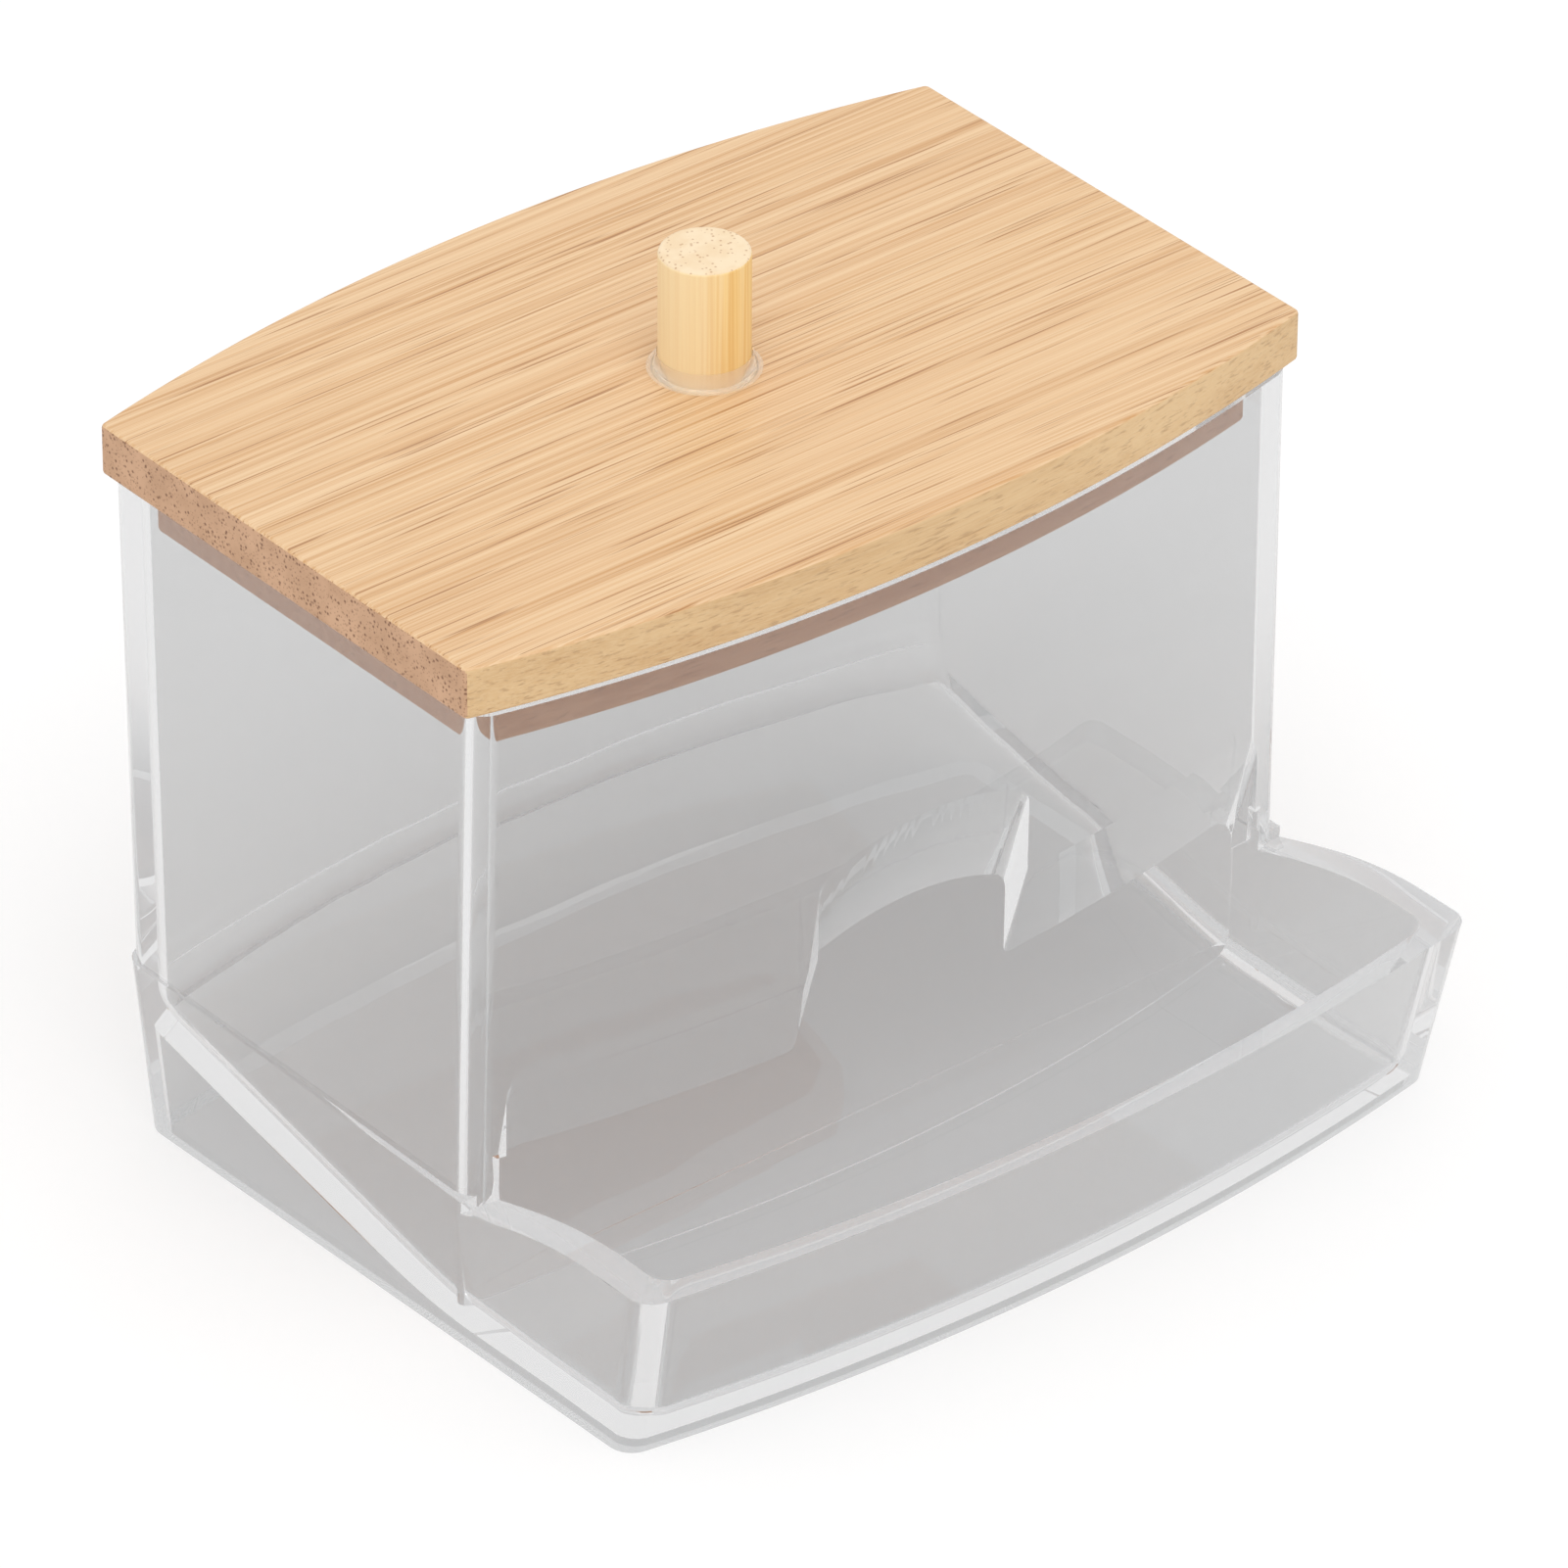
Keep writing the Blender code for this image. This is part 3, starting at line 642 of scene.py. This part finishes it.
def under_hollow():
    """The hollow under the ramp and the tray's floor, open at the bottom."""
    radius = BODY_CORNER_RADIUS / 2
    sections = []
    for z in (-OVERRUN, RAMP_TOP_Z):
        front = inset(mix(BASE_FRONT, RIM_FRONT, z / RIM_Z), SKIRT_WALL)
        back = inset(mix(BASE_BACK, RIM_BACK, z / RIM_Z), SKIRT_WALL)
        sections.append((outline(front, back, radius, radius), z))
    return loft(sections)


def below_ramp():
    reach = RIM_FRONT.corner_y + RIM_FRONT.bow
    points = ramp_profile(RAMP_THICKNESS, FLOOR_Z - FLOOR_THICKNESS, reach)
    points += [(reach, -2 * OVERRUN), (-reach, -2 * OVERRUN)]
    return side_prism(points, BASE_BACK.half_width)


def model_body(wall, edge):
    body = add_object("moulded_body", lower_solid())
    carve(body, add_object("rim_trim", rim_trim()), "DIFFERENCE")
    carve(body, add_object("hopper_solid", hopper_solid()), "UNION")
    hollow = add_object("hopper_hollow", hopper_hollow(wall))
    carve(hollow, add_object("above_ramp", above_ramp()), "INTERSECT")
    fillet_ramp(hollow)
    carve(body, hollow, "DIFFERENCE")
    carve(body, add_object("tray_hollow", tray_hollow(wall)), "DIFFERENCE")
    carve(body, add_object("mouth", mouth_cutter(wall)), "DIFFERENCE")
    under = add_object("under_hollow", under_hollow())
    carve(under, add_object("below_ramp", below_ramp()), "INTERSECT")
    carve(body, under, "DIFFERENCE")
    tidy_faces(body, MERGE_DISTANCE, FLAT_ANGLE)
    ease_edges(body, edge, EASE_SEGMENTS)
    even_wall_normals(body)
    return body


# Node helpers


def node(tree, kind, inputs=None, **settings):
    """A node with its settings made and its inputs set or linked."""
    made = tree.nodes.new(kind)
    for name, value in settings.items():
        setattr(made, name, value)
    for name, value in (inputs or {}).items():
        if isinstance(value, bpy.types.NodeSocket):
            tree.links.new(value, made.inputs[name])
        else:
            made.inputs[name].default_value = value
    return made


def new_group(name, inputs, outputs):
    """An empty shader group with float, colour or vector sockets; returns the tree and its two end nodes."""
    tree = bpy.data.node_groups.new(name, "ShaderNodeTree")
    for socket_name, kind, default in inputs:
        socket = tree.interface.new_socket(socket_name, in_out="INPUT", socket_type=f"NodeSocket{kind}")
        if default is not None:
            socket.default_value = default
    for socket_name, kind in outputs:
        tree.interface.new_socket(socket_name, in_out="OUTPUT", socket_type=f"NodeSocket{kind}")
    return tree, tree.nodes.new("NodeGroupInput"), tree.nodes.new("NodeGroupOutput")


def use_group(tree, group, inputs):
    return node(tree, "ShaderNodeGroup", inputs, node_tree=group)


def maths(tree, operation, first, second=None, clamp=False):
    made = tree.nodes.new("ShaderNodeMath")
    made.operation = operation
    made.use_clamp = clamp
    for socket, value in zip(made.inputs, (first, second)):
        if isinstance(value, bpy.types.NodeSocket):
            tree.links.new(value, socket)
        elif value is not None:
            socket.default_value = value
    return made.outputs[0]


def blend_colour(tree, share, first, second):
    """The first colour where the share is zero and the second where it is one."""
    made = tree.nodes.new("ShaderNodeMix")
    made.data_type = "RGBA"
    made.clamp_result = True
    sockets = [socket for socket in made.inputs if socket.enabled]
    for socket, value in zip(sockets, (share, first, second)):
        if isinstance(value, bpy.types.NodeSocket):
            tree.links.new(value, socket)
        elif isinstance(value, (int, float)):
            socket.default_value = value
        else:
            socket.default_value = (*value, 1.0)[:4]
    return next(socket for socket in made.outputs if socket.enabled)


def new_material(name):
    material = bpy.data.materials.new(name)
    material.use_nodes = True
    return material, material.node_tree, material.node_tree.nodes["Principled BSDF"]


def millimetres(tree):
    """The point's own place in the model, counted in millimetres."""
    place = node(tree, "ShaderNodeTexCoord").outputs["Object"]
    scaled = node(tree, "ShaderNodeVectorMath", {0: place, "Scale": 1 / MM}, operation="SCALE")
    return scaled.outputs["Vector"]


# Shared grain groups


def streak_group():
    """Long soft streaks: a noise that is slow along the first axis and quick across it."""
    name = "grain_streaks"
    if name in bpy.data.node_groups:
        return bpy.data.node_groups[name]
    tree, start, end = new_group(name, [
        ("Vector", "Vector", None),
        ("Along", "Float", 0.01),
        ("Across", "Float", 1.0),
        ("Low", "Float", 0.35),
        ("High", "Float", 0.65),
        ("Detail", "Float", 3.0),
    ], [("Mask", "Float")])
    parts = node(tree, "ShaderNodeSeparateXYZ", {"Vector": start.outputs["Vector"]})
    joined = node(tree, "ShaderNodeCombineXYZ", {
        "X": maths(tree, "MULTIPLY", parts.outputs["X"], start.outputs["Along"]),
        "Y": maths(tree, "MULTIPLY", parts.outputs["Y"], start.outputs["Across"]),
        "Z": maths(tree, "MULTIPLY", parts.outputs["Z"], start.outputs["Across"]),
    })
    noise = node(tree, "ShaderNodeTexNoise", {
        "Vector": joined.outputs["Vector"], "Scale": 1.0, "Detail": start.outputs["Detail"],
        "Roughness": 0.6})
    span = node(tree, "ShaderNodeMapRange", {
        "Value": noise.outputs["Fac"], "From Min": start.outputs["Low"], "From Max": start.outputs["High"]})
    tree.links.new(span.outputs["Result"], end.inputs["Mask"])
    return tree


def dot_group():
    """Cut fibre bundles: dark dots with soft rims, crowded unevenly."""
    name = "fibre_dots"
    if name in bpy.data.node_groups:
        return bpy.data.node_groups[name]
    tree, start, end = new_group(name, [
        ("Vector", "Vector", None), ("Density", "Float", 1.2), ("Size", "Float", 0.3)], [("Mask", "Float")])
    cells = node(tree, "ShaderNodeTexVoronoi", {
        "Vector": start.outputs["Vector"], "Scale": start.outputs["Density"], "Randomness": 0.8},
        feature="F1", distance="EUCLIDEAN")
    size = node(tree, "ShaderNodeTexNoise", {
        "Vector": start.outputs["Vector"], "Scale": 0.5, "Detail": 2.0})
    radius = maths(tree, "MULTIPLY", start.outputs["Size"], maths(tree, "ADD", size.outputs["Fac"], 0.5))
    edge = maths(tree, "SUBTRACT", radius, cells.outputs["Distance"])
    soft = maths(tree, "DIVIDE", edge, maths(tree, "MULTIPLY", start.outputs["Size"], 0.6))
    tree.links.new(maths(tree, "ADD", soft, 0.3, clamp=True), end.inputs["Mask"])
    return tree


def streaks(tree, vector, along, across, low=0.35, high=0.65, detail=3.0):
    return use_group(tree, streak_group(), {
        "Vector": vector, "Along": along, "Across": across, "Low": low, "High": high, "Detail": detail,
    }).outputs["Mask"]


def dots(tree, vector, density, size):
    return use_group(tree, dot_group(), {"Vector": vector, "Density": density, "Size": size}).outputs["Mask"]


def bump(tree, height, distance, strength):
    made = node(tree, "ShaderNodeBump", {"Height": height, "Distance": distance, "Strength": strength})
    return made.outputs["Normal"]


def turn_axes(tree, vector, order):
    """The same place with its axes in another order, so that streaks can run another way."""
    parts = node(tree, "ShaderNodeSeparateXYZ", {"Vector": vector})
    return node(tree, "ShaderNodeCombineXYZ", {
        axis: parts.outputs[source] for axis, source in zip("XYZ", order)}).outputs["Vector"]


# Materials


def let_light_through(tree, shader, tint):
    """Let light for other surfaces pass, and let long paths inside the walls out before they end dark."""
    path = node(tree, "ShaderNodeLightPath")
    deep = maths(tree, "GREATER_THAN", path.outputs["Ray Depth"], DEEPEST_BOUNCE)
    lighting = maths(tree, "MAXIMUM", path.outputs["Is Shadow Ray"], path.outputs["Is Diffuse Ray"])
    share = maths(tree, "MAXIMUM", lighting, deep)
    passed = blend_colour(tree, lighting, (1.0, 1.0, 1.0), tint)
    clear = node(tree, "ShaderNodeBsdfTransparent", {"Color": passed})
    mixed = node(tree, "ShaderNodeMixShader", {0: share, 1: shader.outputs["BSDF"], 2: clear.outputs["BSDF"]})
    output = next(item for item in tree.nodes if item.type == "OUTPUT_MATERIAL")
    tree.links.new(mixed.outputs["Shader"], output.inputs["Surface"])


def clear_plastic(props):
    """Clear moulded plastic with painted shade: its grey comes from the first wall looked through and stands
    in for the dim surroundings seen through the plastic.
    """
    material, tree, shader = new_material("clear_plastic")
    place = millimetres(tree)
    ripple = node(tree, "ShaderNodeTexNoise", {"Vector": place, "Scale": 0.06, "Detail": 1.0})
    # Painted shade: the first wall looked through is painted grey for the dim surroundings seen through it;
    # walls behind it stay white
    depth = node(tree, "ShaderNodeLightPath").outputs["Ray Depth"]
    past_first_wall = maths(tree, "GREATER_THAN", depth, FIRST_WALL_BOUNCE)
    tone = blend_colour(tree, past_first_wall, props.tint, (1.0, 1.0, 1.0))
    tree.links.new(tone, shader.inputs["Base Color"])
    shader.inputs["Roughness"].default_value = 0.0
    shader.inputs["IOR"].default_value = props.ior
    shader.inputs["Transmission Weight"].default_value = 1.0
    tree.links.new(bump(tree, ripple.outputs["Fac"], 1.0 * MM, props.waviness), shader.inputs["Normal"])
    let_light_through(tree, shader, props.shadow)
    return material


def bamboo_face(props):
    """Side-pressed bamboo seen from above: close straight streaks along the lid."""
    material, tree, shader = new_material("bamboo_face")
    place = millimetres(tree)
    broad = streaks(tree, place, 0.004, 0.10, 0.35, 0.68, 2.0)
    fine = streaks(tree, place, 0.007, 1.3, 0.40, 0.64)
    hair = streaks(tree, place, 0.012, 4.6, 0.34, 0.66, 2.0)
    dash = streaks(tree, place, 0.05, 3.0, 0.62, 0.72, 1.0)
    tone = blend_colour(tree, maths(tree, "MULTIPLY", fine, 0.90), props.face, props.face_dark)
    tone = blend_colour(tree, maths(tree, "MULTIPLY", broad, 0.35), tone, FACE_HONEY)
    tone = blend_colour(tree, maths(tree, "MULTIPLY", hair, 0.60), tone, FACE_PALE)
    tone = blend_colour(tree, maths(tree, "MULTIPLY", dash, 0.85), tone, FACE_DASH)
    tree.links.new(tone, shader.inputs["Base Color"])
    tree.links.new(maths(tree, "ADD", maths(tree, "MULTIPLY", hair, 0.12), 0.42), shader.inputs["Roughness"])
    tree.links.new(bump(tree, maths(tree, "SUBTRACT", hair, dash), 0.02 * MM, 0.6), shader.inputs["Normal"])
    return material


def bamboo_edge(props):
    """The long edges: fibres cut at a slant show as short dashes."""
    material, tree, shader = new_material("bamboo_edge")
    place = millimetres(tree)
    broad = streaks(tree, place, 0.02, 0.25, 0.35, 0.65, 2.0)
    dash = streaks(tree, place, 0.35, 3.4, 0.55, 0.68, 2.0)
    hair = streaks(tree, place, 0.08, 5.0, 0.35, 0.65, 2.0)
    tone = blend_colour(tree, maths(tree, "MULTIPLY", broad, 0.6), props.edge, EDGE_STREAK)
    tone = blend_colour(tree, maths(tree, "MULTIPLY", hair, 0.35), tone, EDGE_PALE)
    tone = blend_colour(tree, maths(tree, "MULTIPLY", dash, 0.38), tone, EDGE_DASH)
    tree.links.new(tone, shader.inputs["Base Color"])
    shader.inputs["Roughness"].default_value = 0.55
    tree.links.new(bump(tree, maths(tree, "SUBTRACT", hair, dash), 0.03 * MM, 0.6), shader.inputs["Normal"])
    return material


def bamboo_end(props):
    """The ends of the lid: cut fibre bundles as close dark dots."""
    material, tree, shader = new_material("bamboo_end")
    place = millimetres(tree)
    pores = dots(tree, place, 1.9, 0.30)
    small = dots(tree, place, 3.4, 0.30)
    cloud = streaks(tree, place, 0.2, 0.2, 0.35, 0.65, 3.0)
    tone = blend_colour(tree, maths(tree, "MULTIPLY", cloud, 0.4), props.end, END_CLOUD)
    tone = blend_colour(tree, maths(tree, "MULTIPLY", small, 0.60), tone, END_DOT)
    tone = blend_colour(tree, maths(tree, "MULTIPLY", pores, 0.85), tone, props.pore)
    tree.links.new(tone, shader.inputs["Base Color"])
    shader.inputs["Roughness"].default_value = 0.7
    tree.links.new(bump(tree, maths(tree, "SUBTRACT", 1.0, pores), 0.05 * MM, 0.5), shader.inputs["Normal"])
    return material


def bamboo_board(props):
    """The locating board under the lid, bare and a little darker."""
    material, tree, shader = new_material("bamboo_board")
    place = millimetres(tree)
    fine = streaks(tree, place, 0.03, 1.2, 0.38, 0.66)
    dash = streaks(tree, place, 0.35, 3.0, 0.60, 0.70, 1.0)
    tone = blend_colour(tree, maths(tree, "MULTIPLY", fine, 0.5), props.board, BOARD_STREAK)
    tone = blend_colour(tree, maths(tree, "MULTIPLY", dash, 0.25), tone, props.pore)
    tree.links.new(tone, shader.inputs["Base Color"])
    shader.inputs["Roughness"].default_value = 0.65
    tree.links.new(bump(tree, fine, 0.03 * MM, 0.5), shader.inputs["Normal"])
    return material


def dowel_side(props):
    """The knob's side: upright stripes, with a painted highlight: the side towards the lamp, at negative x,
    is painted paler.
    """
    material, tree, shader = new_material("dowel_side")
    place = turn_axes(tree, millimetres(tree), "ZXY")
    broad = streaks(tree, place, 0.02, 0.6, 0.38, 0.62, 2.0)
    fine = streaks(tree, place, 0.03, 3.2, 0.40, 0.62, 2.0)
    tone = blend_colour(tree, maths(tree, "MULTIPLY", broad, 0.6), props.dowel, DOWEL_BAND)
    tone = blend_colour(tree, maths(tree, "MULTIPLY", fine, 0.6), tone, DOWEL_STREAK)
    # Painted highlight: the knob is painted paler towards negative x, the side that faces the lamp
    across = node(tree, "ShaderNodeSeparateXYZ", {"Vector": millimetres(tree)}).outputs["X"]
    pale = node(tree, "ShaderNodeMapRange", {
        "Value": across, "From Min": -0.5, "From Max": -3.8, "To Max": 0.7}, interpolation_type="SMOOTHSTEP")
    tone = blend_colour(tree, pale.outputs["Result"], tone, DOWEL_PAINTED_LIT_SIDE)
    tree.links.new(tone, shader.inputs["Base Color"])
    shader.inputs["Roughness"].default_value = 0.38
    tree.links.new(bump(tree, fine, 0.02 * MM, 0.5), shader.inputs["Normal"])
    return material


def dowel_end(props):
    """The knob's top: pale end grain with small brown dots."""
    material, tree, shader = new_material("dowel_end")
    place = millimetres(tree)
    pores = dots(tree, place, 1.9, 0.24)
    cloud = streaks(tree, place, 0.4, 0.4, 0.4, 0.6, 2.0)
    tone = blend_colour(tree, maths(tree, "MULTIPLY", cloud, 0.5), DOWEL_TOP, DOWEL_TOP_CLOUD)
    tone = blend_colour(tree, maths(tree, "MULTIPLY", pores, 0.6), tone, DOWEL_TOP_DOT)
    tree.links.new(tone, shader.inputs["Base Color"])
    shader.inputs["Roughness"].default_value = 0.6
    tree.links.new(bump(tree, maths(tree, "SUBTRACT", 1.0, pores), 0.03 * MM, 0.5), shader.inputs["Normal"])
    return material


def clear_glue():
    """Slightly lumpy, milky glue."""
    material, tree, shader = new_material("clear_glue")
    lumps = node(tree, "ShaderNodeTexNoise", {"Vector": millimetres(tree), "Scale": 0.5, "Detail": 2.0})
    shader.inputs["Base Color"].default_value = (*GLUE_TINT, 1.0)
    shader.inputs["Roughness"].default_value = 0.25
    shader.inputs["IOR"].default_value = 1.3
    shader.inputs["Transmission Weight"].default_value = 0.8
    tree.links.new(bump(tree, lumps.outputs["Fac"], 0.2 * MM, 0.5), shader.inputs["Normal"])
    let_light_through(tree, shader, GLUE_SHADOW)
    return material


def assign_by_direction(piece, rules):
    """Give each face the first material whose test its normal passes."""
    for face in piece.data.polygons:
        for index, passes in enumerate(rules):
            if passes(face.normal):
                face.material_index = index
                break


# Operators


class SWABBOX_OT_clear_body(bpy.types.Operator):
    """Model the clear hopper, ramp and tray as one moulding with eased edges"""

    bl_idname = "swabbox.clear_body"
    bl_label = "Clear body"

    def execute(self, context):
        props = context.scene.swab_box_plastic
        body = model_body(props.wall, props.edge)
        body.data.materials.append(clear_plastic(props))
        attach(body, "box")
        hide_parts("clear_body")
        return {"FINISHED"}


class SWABBOX_OT_lid_plate(bpy.types.Operator):
    """Model the bowed bamboo lid with its sanded edges"""

    bl_idname = "swabbox.lid_plate"
    bl_label = "Lid plate"

    def execute(self, context):
        props = context.scene.swab_box_bamboo
        half_depth = (PLATE_HIGH.y - PLATE_LOW.y) / 2
        plan = Edge(PLATE_HIGH.x, half_depth - LID_BOW, LID_BOW)
        points = outline(plan, plan, LID_CORNER_RADIUS, LID_CORNER_RADIUS)
        plate = add_object("bamboo_lid", loft([(points, PLATE_LOW.z), (points, PLATE_HIGH.z)]))
        socket = bmesh.new()
        depth = PLATE_HIGH.z - KNOB_LOW.z
        radius = abs(KNOB_LOW.x) + SOCKET_GAP
        bmesh.ops.create_cone(socket, cap_ends=True, segments=ROUND_STEPS, radius1=radius, radius2=radius,
                              depth=2 * depth + 2 * SOCKET_GAP)
        bmesh.ops.translate(socket, vec=(0, 0, PLATE_HIGH.z), verts=socket.verts)
        carve(plate, add_object("socket", socket), "DIFFERENCE")
        ease_edges(plate, props.ease, EASE_SEGMENTS)
        for material in (bamboo_face(props), bamboo_end(props), bamboo_edge(props)):
            plate.data.materials.append(material)
        assign_by_direction(plate, (
            lambda normal: abs(normal.z) > TOP_NORMAL_Z,
            lambda normal: abs(normal.x) > END_NORMAL_X,
            lambda normal: True,
        ))
        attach(plate, "lid")
        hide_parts("lid_plate")
        return {"FINISHED"}


class SWABBOX_OT_lid_plug(bpy.types.Operator):
    """Model the locating board under the lid"""

    bl_idname = "swabbox.lid_plug"
    bl_label = "Locating board"

    def execute(self, context):
        props = context.scene.swab_box_bamboo
        half_depth = (PLUG_HIGH.y - PLUG_LOW.y) / 2
        plan = Edge(PLUG_HIGH.x, half_depth - PLUG_BOW, PLUG_BOW)
        points = outline(plan, plan, PLUG_CORNER_RADIUS, PLUG_CORNER_RADIUS)
        board = add_object("locating_board", loft([(points, PLUG_LOW.z), (points, PLUG_HIGH.z)]))
        ease_edges(board, props.ease, BOARD_EASE_SEGMENTS)
        board.data.materials.append(bamboo_board(props))
        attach(board, "lid")
        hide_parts("lid_plug")
        return {"FINISHED"}


class SWABBOX_OT_lid_knob(bpy.types.Operator):
    """Turn the dowel knob with its softened top"""

    bl_idname = "swabbox.lid_knob"
    bl_label = "Dowel knob"

    def execute(self, context):
        props = context.scene.swab_box_bamboo
        radius = KNOB_HIGH.x
        bm = bmesh.new()
        bmesh.ops.create_cone(bm, cap_ends=True, segments=ROUND_STEPS, radius1=radius, radius2=radius,
                              depth=KNOB_HIGH.z - KNOB_LOW.z)
        bmesh.ops.translate(bm, vec=(0, 0, (KNOB_HIGH.z + KNOB_LOW.z) / 2), verts=bm.verts)
        knob = add_object("dowel_knob", bm)
        ease_edges(knob, props.ease, EASE_SEGMENTS)
        knob.data.materials.append(dowel_end(props))
        knob.data.materials.append(dowel_side(props))
        assign_by_direction(knob, (lambda normal: normal.z > TOP_NORMAL_Z, lambda normal: True))
        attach(knob, "lid")
        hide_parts("lid_knob")
        return {"FINISHED"}


class SWABBOX_OT_glue_bead(bpy.types.Operator):
    """Lay the bead of clear glue round the knob's foot"""

    bl_idname = "swabbox.glue_bead"
    bl_label = "Glue bead"

    def execute(self, context):
        inner = KNOB_HIGH.x + BEAD_GAP
        low = GLUE_LOW.z - BEAD_SINK
        high = GLUE_HIGH.z
        profile = [(inner, high)]
        steps = 2 * FILLET_SEGMENTS
        for step in range(1, steps + 1):
            angle = math.pi / 2 * step / steps
            profile.append((inner + BEAD_WIDTH * (1 - math.cos(angle)),
                            low + (high - low) * (1 - math.sin(angle))))
        profile.append((inner, low))
        bead = add_object("glue_bead", turned(profile, ROUND_STEPS), [clear_glue()])
        bead.data.shade_smooth()
        bead.data.set_sharp_from_angle(angle=SHARP_ANGLE)
        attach(bead, "lid")
        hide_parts("knob_glue_bead")
        return {"FINISHED"}


def seen_ray(tree):
    """One for rays from the camera, a reflection or clear plastic, zero for light."""
    path = node(tree, "ShaderNodeLightPath")
    seen = maths(tree, "MAXIMUM", path.outputs["Is Camera Ray"], path.outputs["Is Glossy Ray"])
    return maths(tree, "MAXIMUM", seen, path.outputs["Is Transmission Ray"])


def floor_material(props):
    """A pale floor that keeps a light shadow: where it is looked at, part of its white is its own."""
    material, tree, shader = new_material("studio_floor")
    seen = seen_ray(tree)
    shown = [channel * (1.0 - props.own_white) for channel in props.floor]
    tree.links.new(blend_colour(tree, seen, props.floor, shown), shader.inputs["Base Color"])
    shader.inputs["Roughness"].default_value = 0.9
    shader.inputs["Specular IOR Level"].default_value = 0.0
    shader.inputs["Emission Color"].default_value = (1.0, 1.0, 1.0, 1.0)
    glow = maths(tree, "MULTIPLY", seen, props.own_white + FLOOR_LIFT)
    tree.links.new(glow, shader.inputs["Emission Strength"])
    return material


def studio_world(props):
    """White where the camera, a reflection or clear plastic looks at it, and softer as a light."""
    world = bpy.data.worlds.new("studio")
    bpy.context.scene.world = world
    world.use_nodes = True
    tree = world.node_tree
    background = tree.nodes["Background"]
    level = node(tree, "ShaderNodeMapRange", {
        "Value": seen_ray(tree), "To Min": props.ambient, "To Max": 1.0})
    background.inputs["Color"].default_value = (1.0, 1.0, 1.0, 1.0)
    tree.links.new(level.outputs["Result"], background.inputs["Strength"])


def soft_light(name, place, target, size, power):
    data = bpy.data.lights.new(name, "AREA")
    data.shape = "SQUARE"
    data.size = size
    data.energy = power
    lamp = bpy.data.objects.new(name, data)
    lamp.location = place
    lamp.visible_camera = False
    lamp.rotation_euler = (Vector(target) - Vector(place)).to_track_quat("-Z", "Y").to_euler()
    bpy.context.scene.collection.objects.link(lamp)


class SWABBOX_OT_stage(bpy.types.Operator):
    """Set up the floor, the light and the camera"""

    bl_idname = "swabbox.stage"
    bl_label = "Studio"

    def execute(self, context):
        props = context.scene.swab_box_studio
        bm = bmesh.new()
        bmesh.ops.create_grid(bm, x_segments=2, y_segments=2, size=FLOOR_HALF_SIZE)
        mesh = bpy.data.meshes.new("floor")
        bm.to_mesh(mesh)
        bm.free()
        mesh.materials.append(floor_material(props))
        floor = bpy.data.objects.new("floor", mesh)
        context.scene.collection.objects.link(floor)
        studio_world(props)
        soft_light("key_light", KEY_PLACE, KEY_TARGET, KEY_SIZE, props.key)
        data = bpy.data.cameras.new("photo_camera")
        data.lens = props.lens
        data.sensor_width = SENSOR_WIDTH
        data.clip_end = CAMERA_REACH
        camera = bpy.data.objects.new("photo_camera", data)
        camera.location = props.place
        turn = Euler((math.pi / 2 - props.elevation, 0.0, -props.azimuth), "XYZ").to_matrix()
        camera.rotation_euler = (turn @ Matrix.Rotation(props.roll, 3, "Z")).to_euler()
        context.scene.collection.objects.link(camera)
        context.scene.camera = camera
        context.scene.view_settings.view_transform = "Standard"
        return {"FINISHED"}


class SWABBOX_PT_panel(bpy.types.Panel):
    """Sidebar panel with the steps of the swab box"""

    bl_label = "Swab box"
    bl_idname = "SWABBOX_PT_panel"
    bl_space_type = "VIEW_3D"
    bl_region_type = "UI"
    bl_category = "Swab box"

    def draw(self, context):
        layout = self.layout
        for operator in OPERATORS:
            layout.operator(operator.bl_idname)
        scene = context.scene
        for group in (scene.swab_box_plastic, scene.swab_box_bamboo, scene.swab_box_studio):
            box = layout.box()
            for name in group.__annotations__:
                box.prop(group, name)


GROUPS = (SwabBoxPlastic, SwabBoxBamboo, SwabBoxStudio)
OPERATORS = (
    SWABBOX_OT_clear_body,
    SWABBOX_OT_lid_plate,
    SWABBOX_OT_lid_plug,
    SWABBOX_OT_lid_knob,
    SWABBOX_OT_glue_bead,
    SWABBOX_OT_stage,
)


def register():
    for cls in GROUPS + OPERATORS + (SWABBOX_PT_panel,):
        bpy.utils.register_class(cls)
    bpy.types.Scene.swab_box_plastic = bpy.props.PointerProperty(type=SwabBoxPlastic)
    bpy.types.Scene.swab_box_bamboo = bpy.props.PointerProperty(type=SwabBoxBamboo)
    bpy.types.Scene.swab_box_studio = bpy.props.PointerProperty(type=SwabBoxStudio)


def unregister():
    del bpy.types.Scene.swab_box_studio
    del bpy.types.Scene.swab_box_bamboo
    del bpy.types.Scene.swab_box_plastic
    for cls in reversed(GROUPS + OPERATORS + (SWABBOX_PT_panel,)):
        bpy.utils.unregister_class(cls)


def main():
    register()
    bpy.ops.swabbox.clear_body()
    bpy.ops.swabbox.lid_plate()
    bpy.ops.swabbox.lid_plug()
    bpy.ops.swabbox.lid_knob()
    bpy.ops.swabbox.glue_bead()
    bpy.ops.swabbox.stage()


if __name__ == "__main__":
    main()
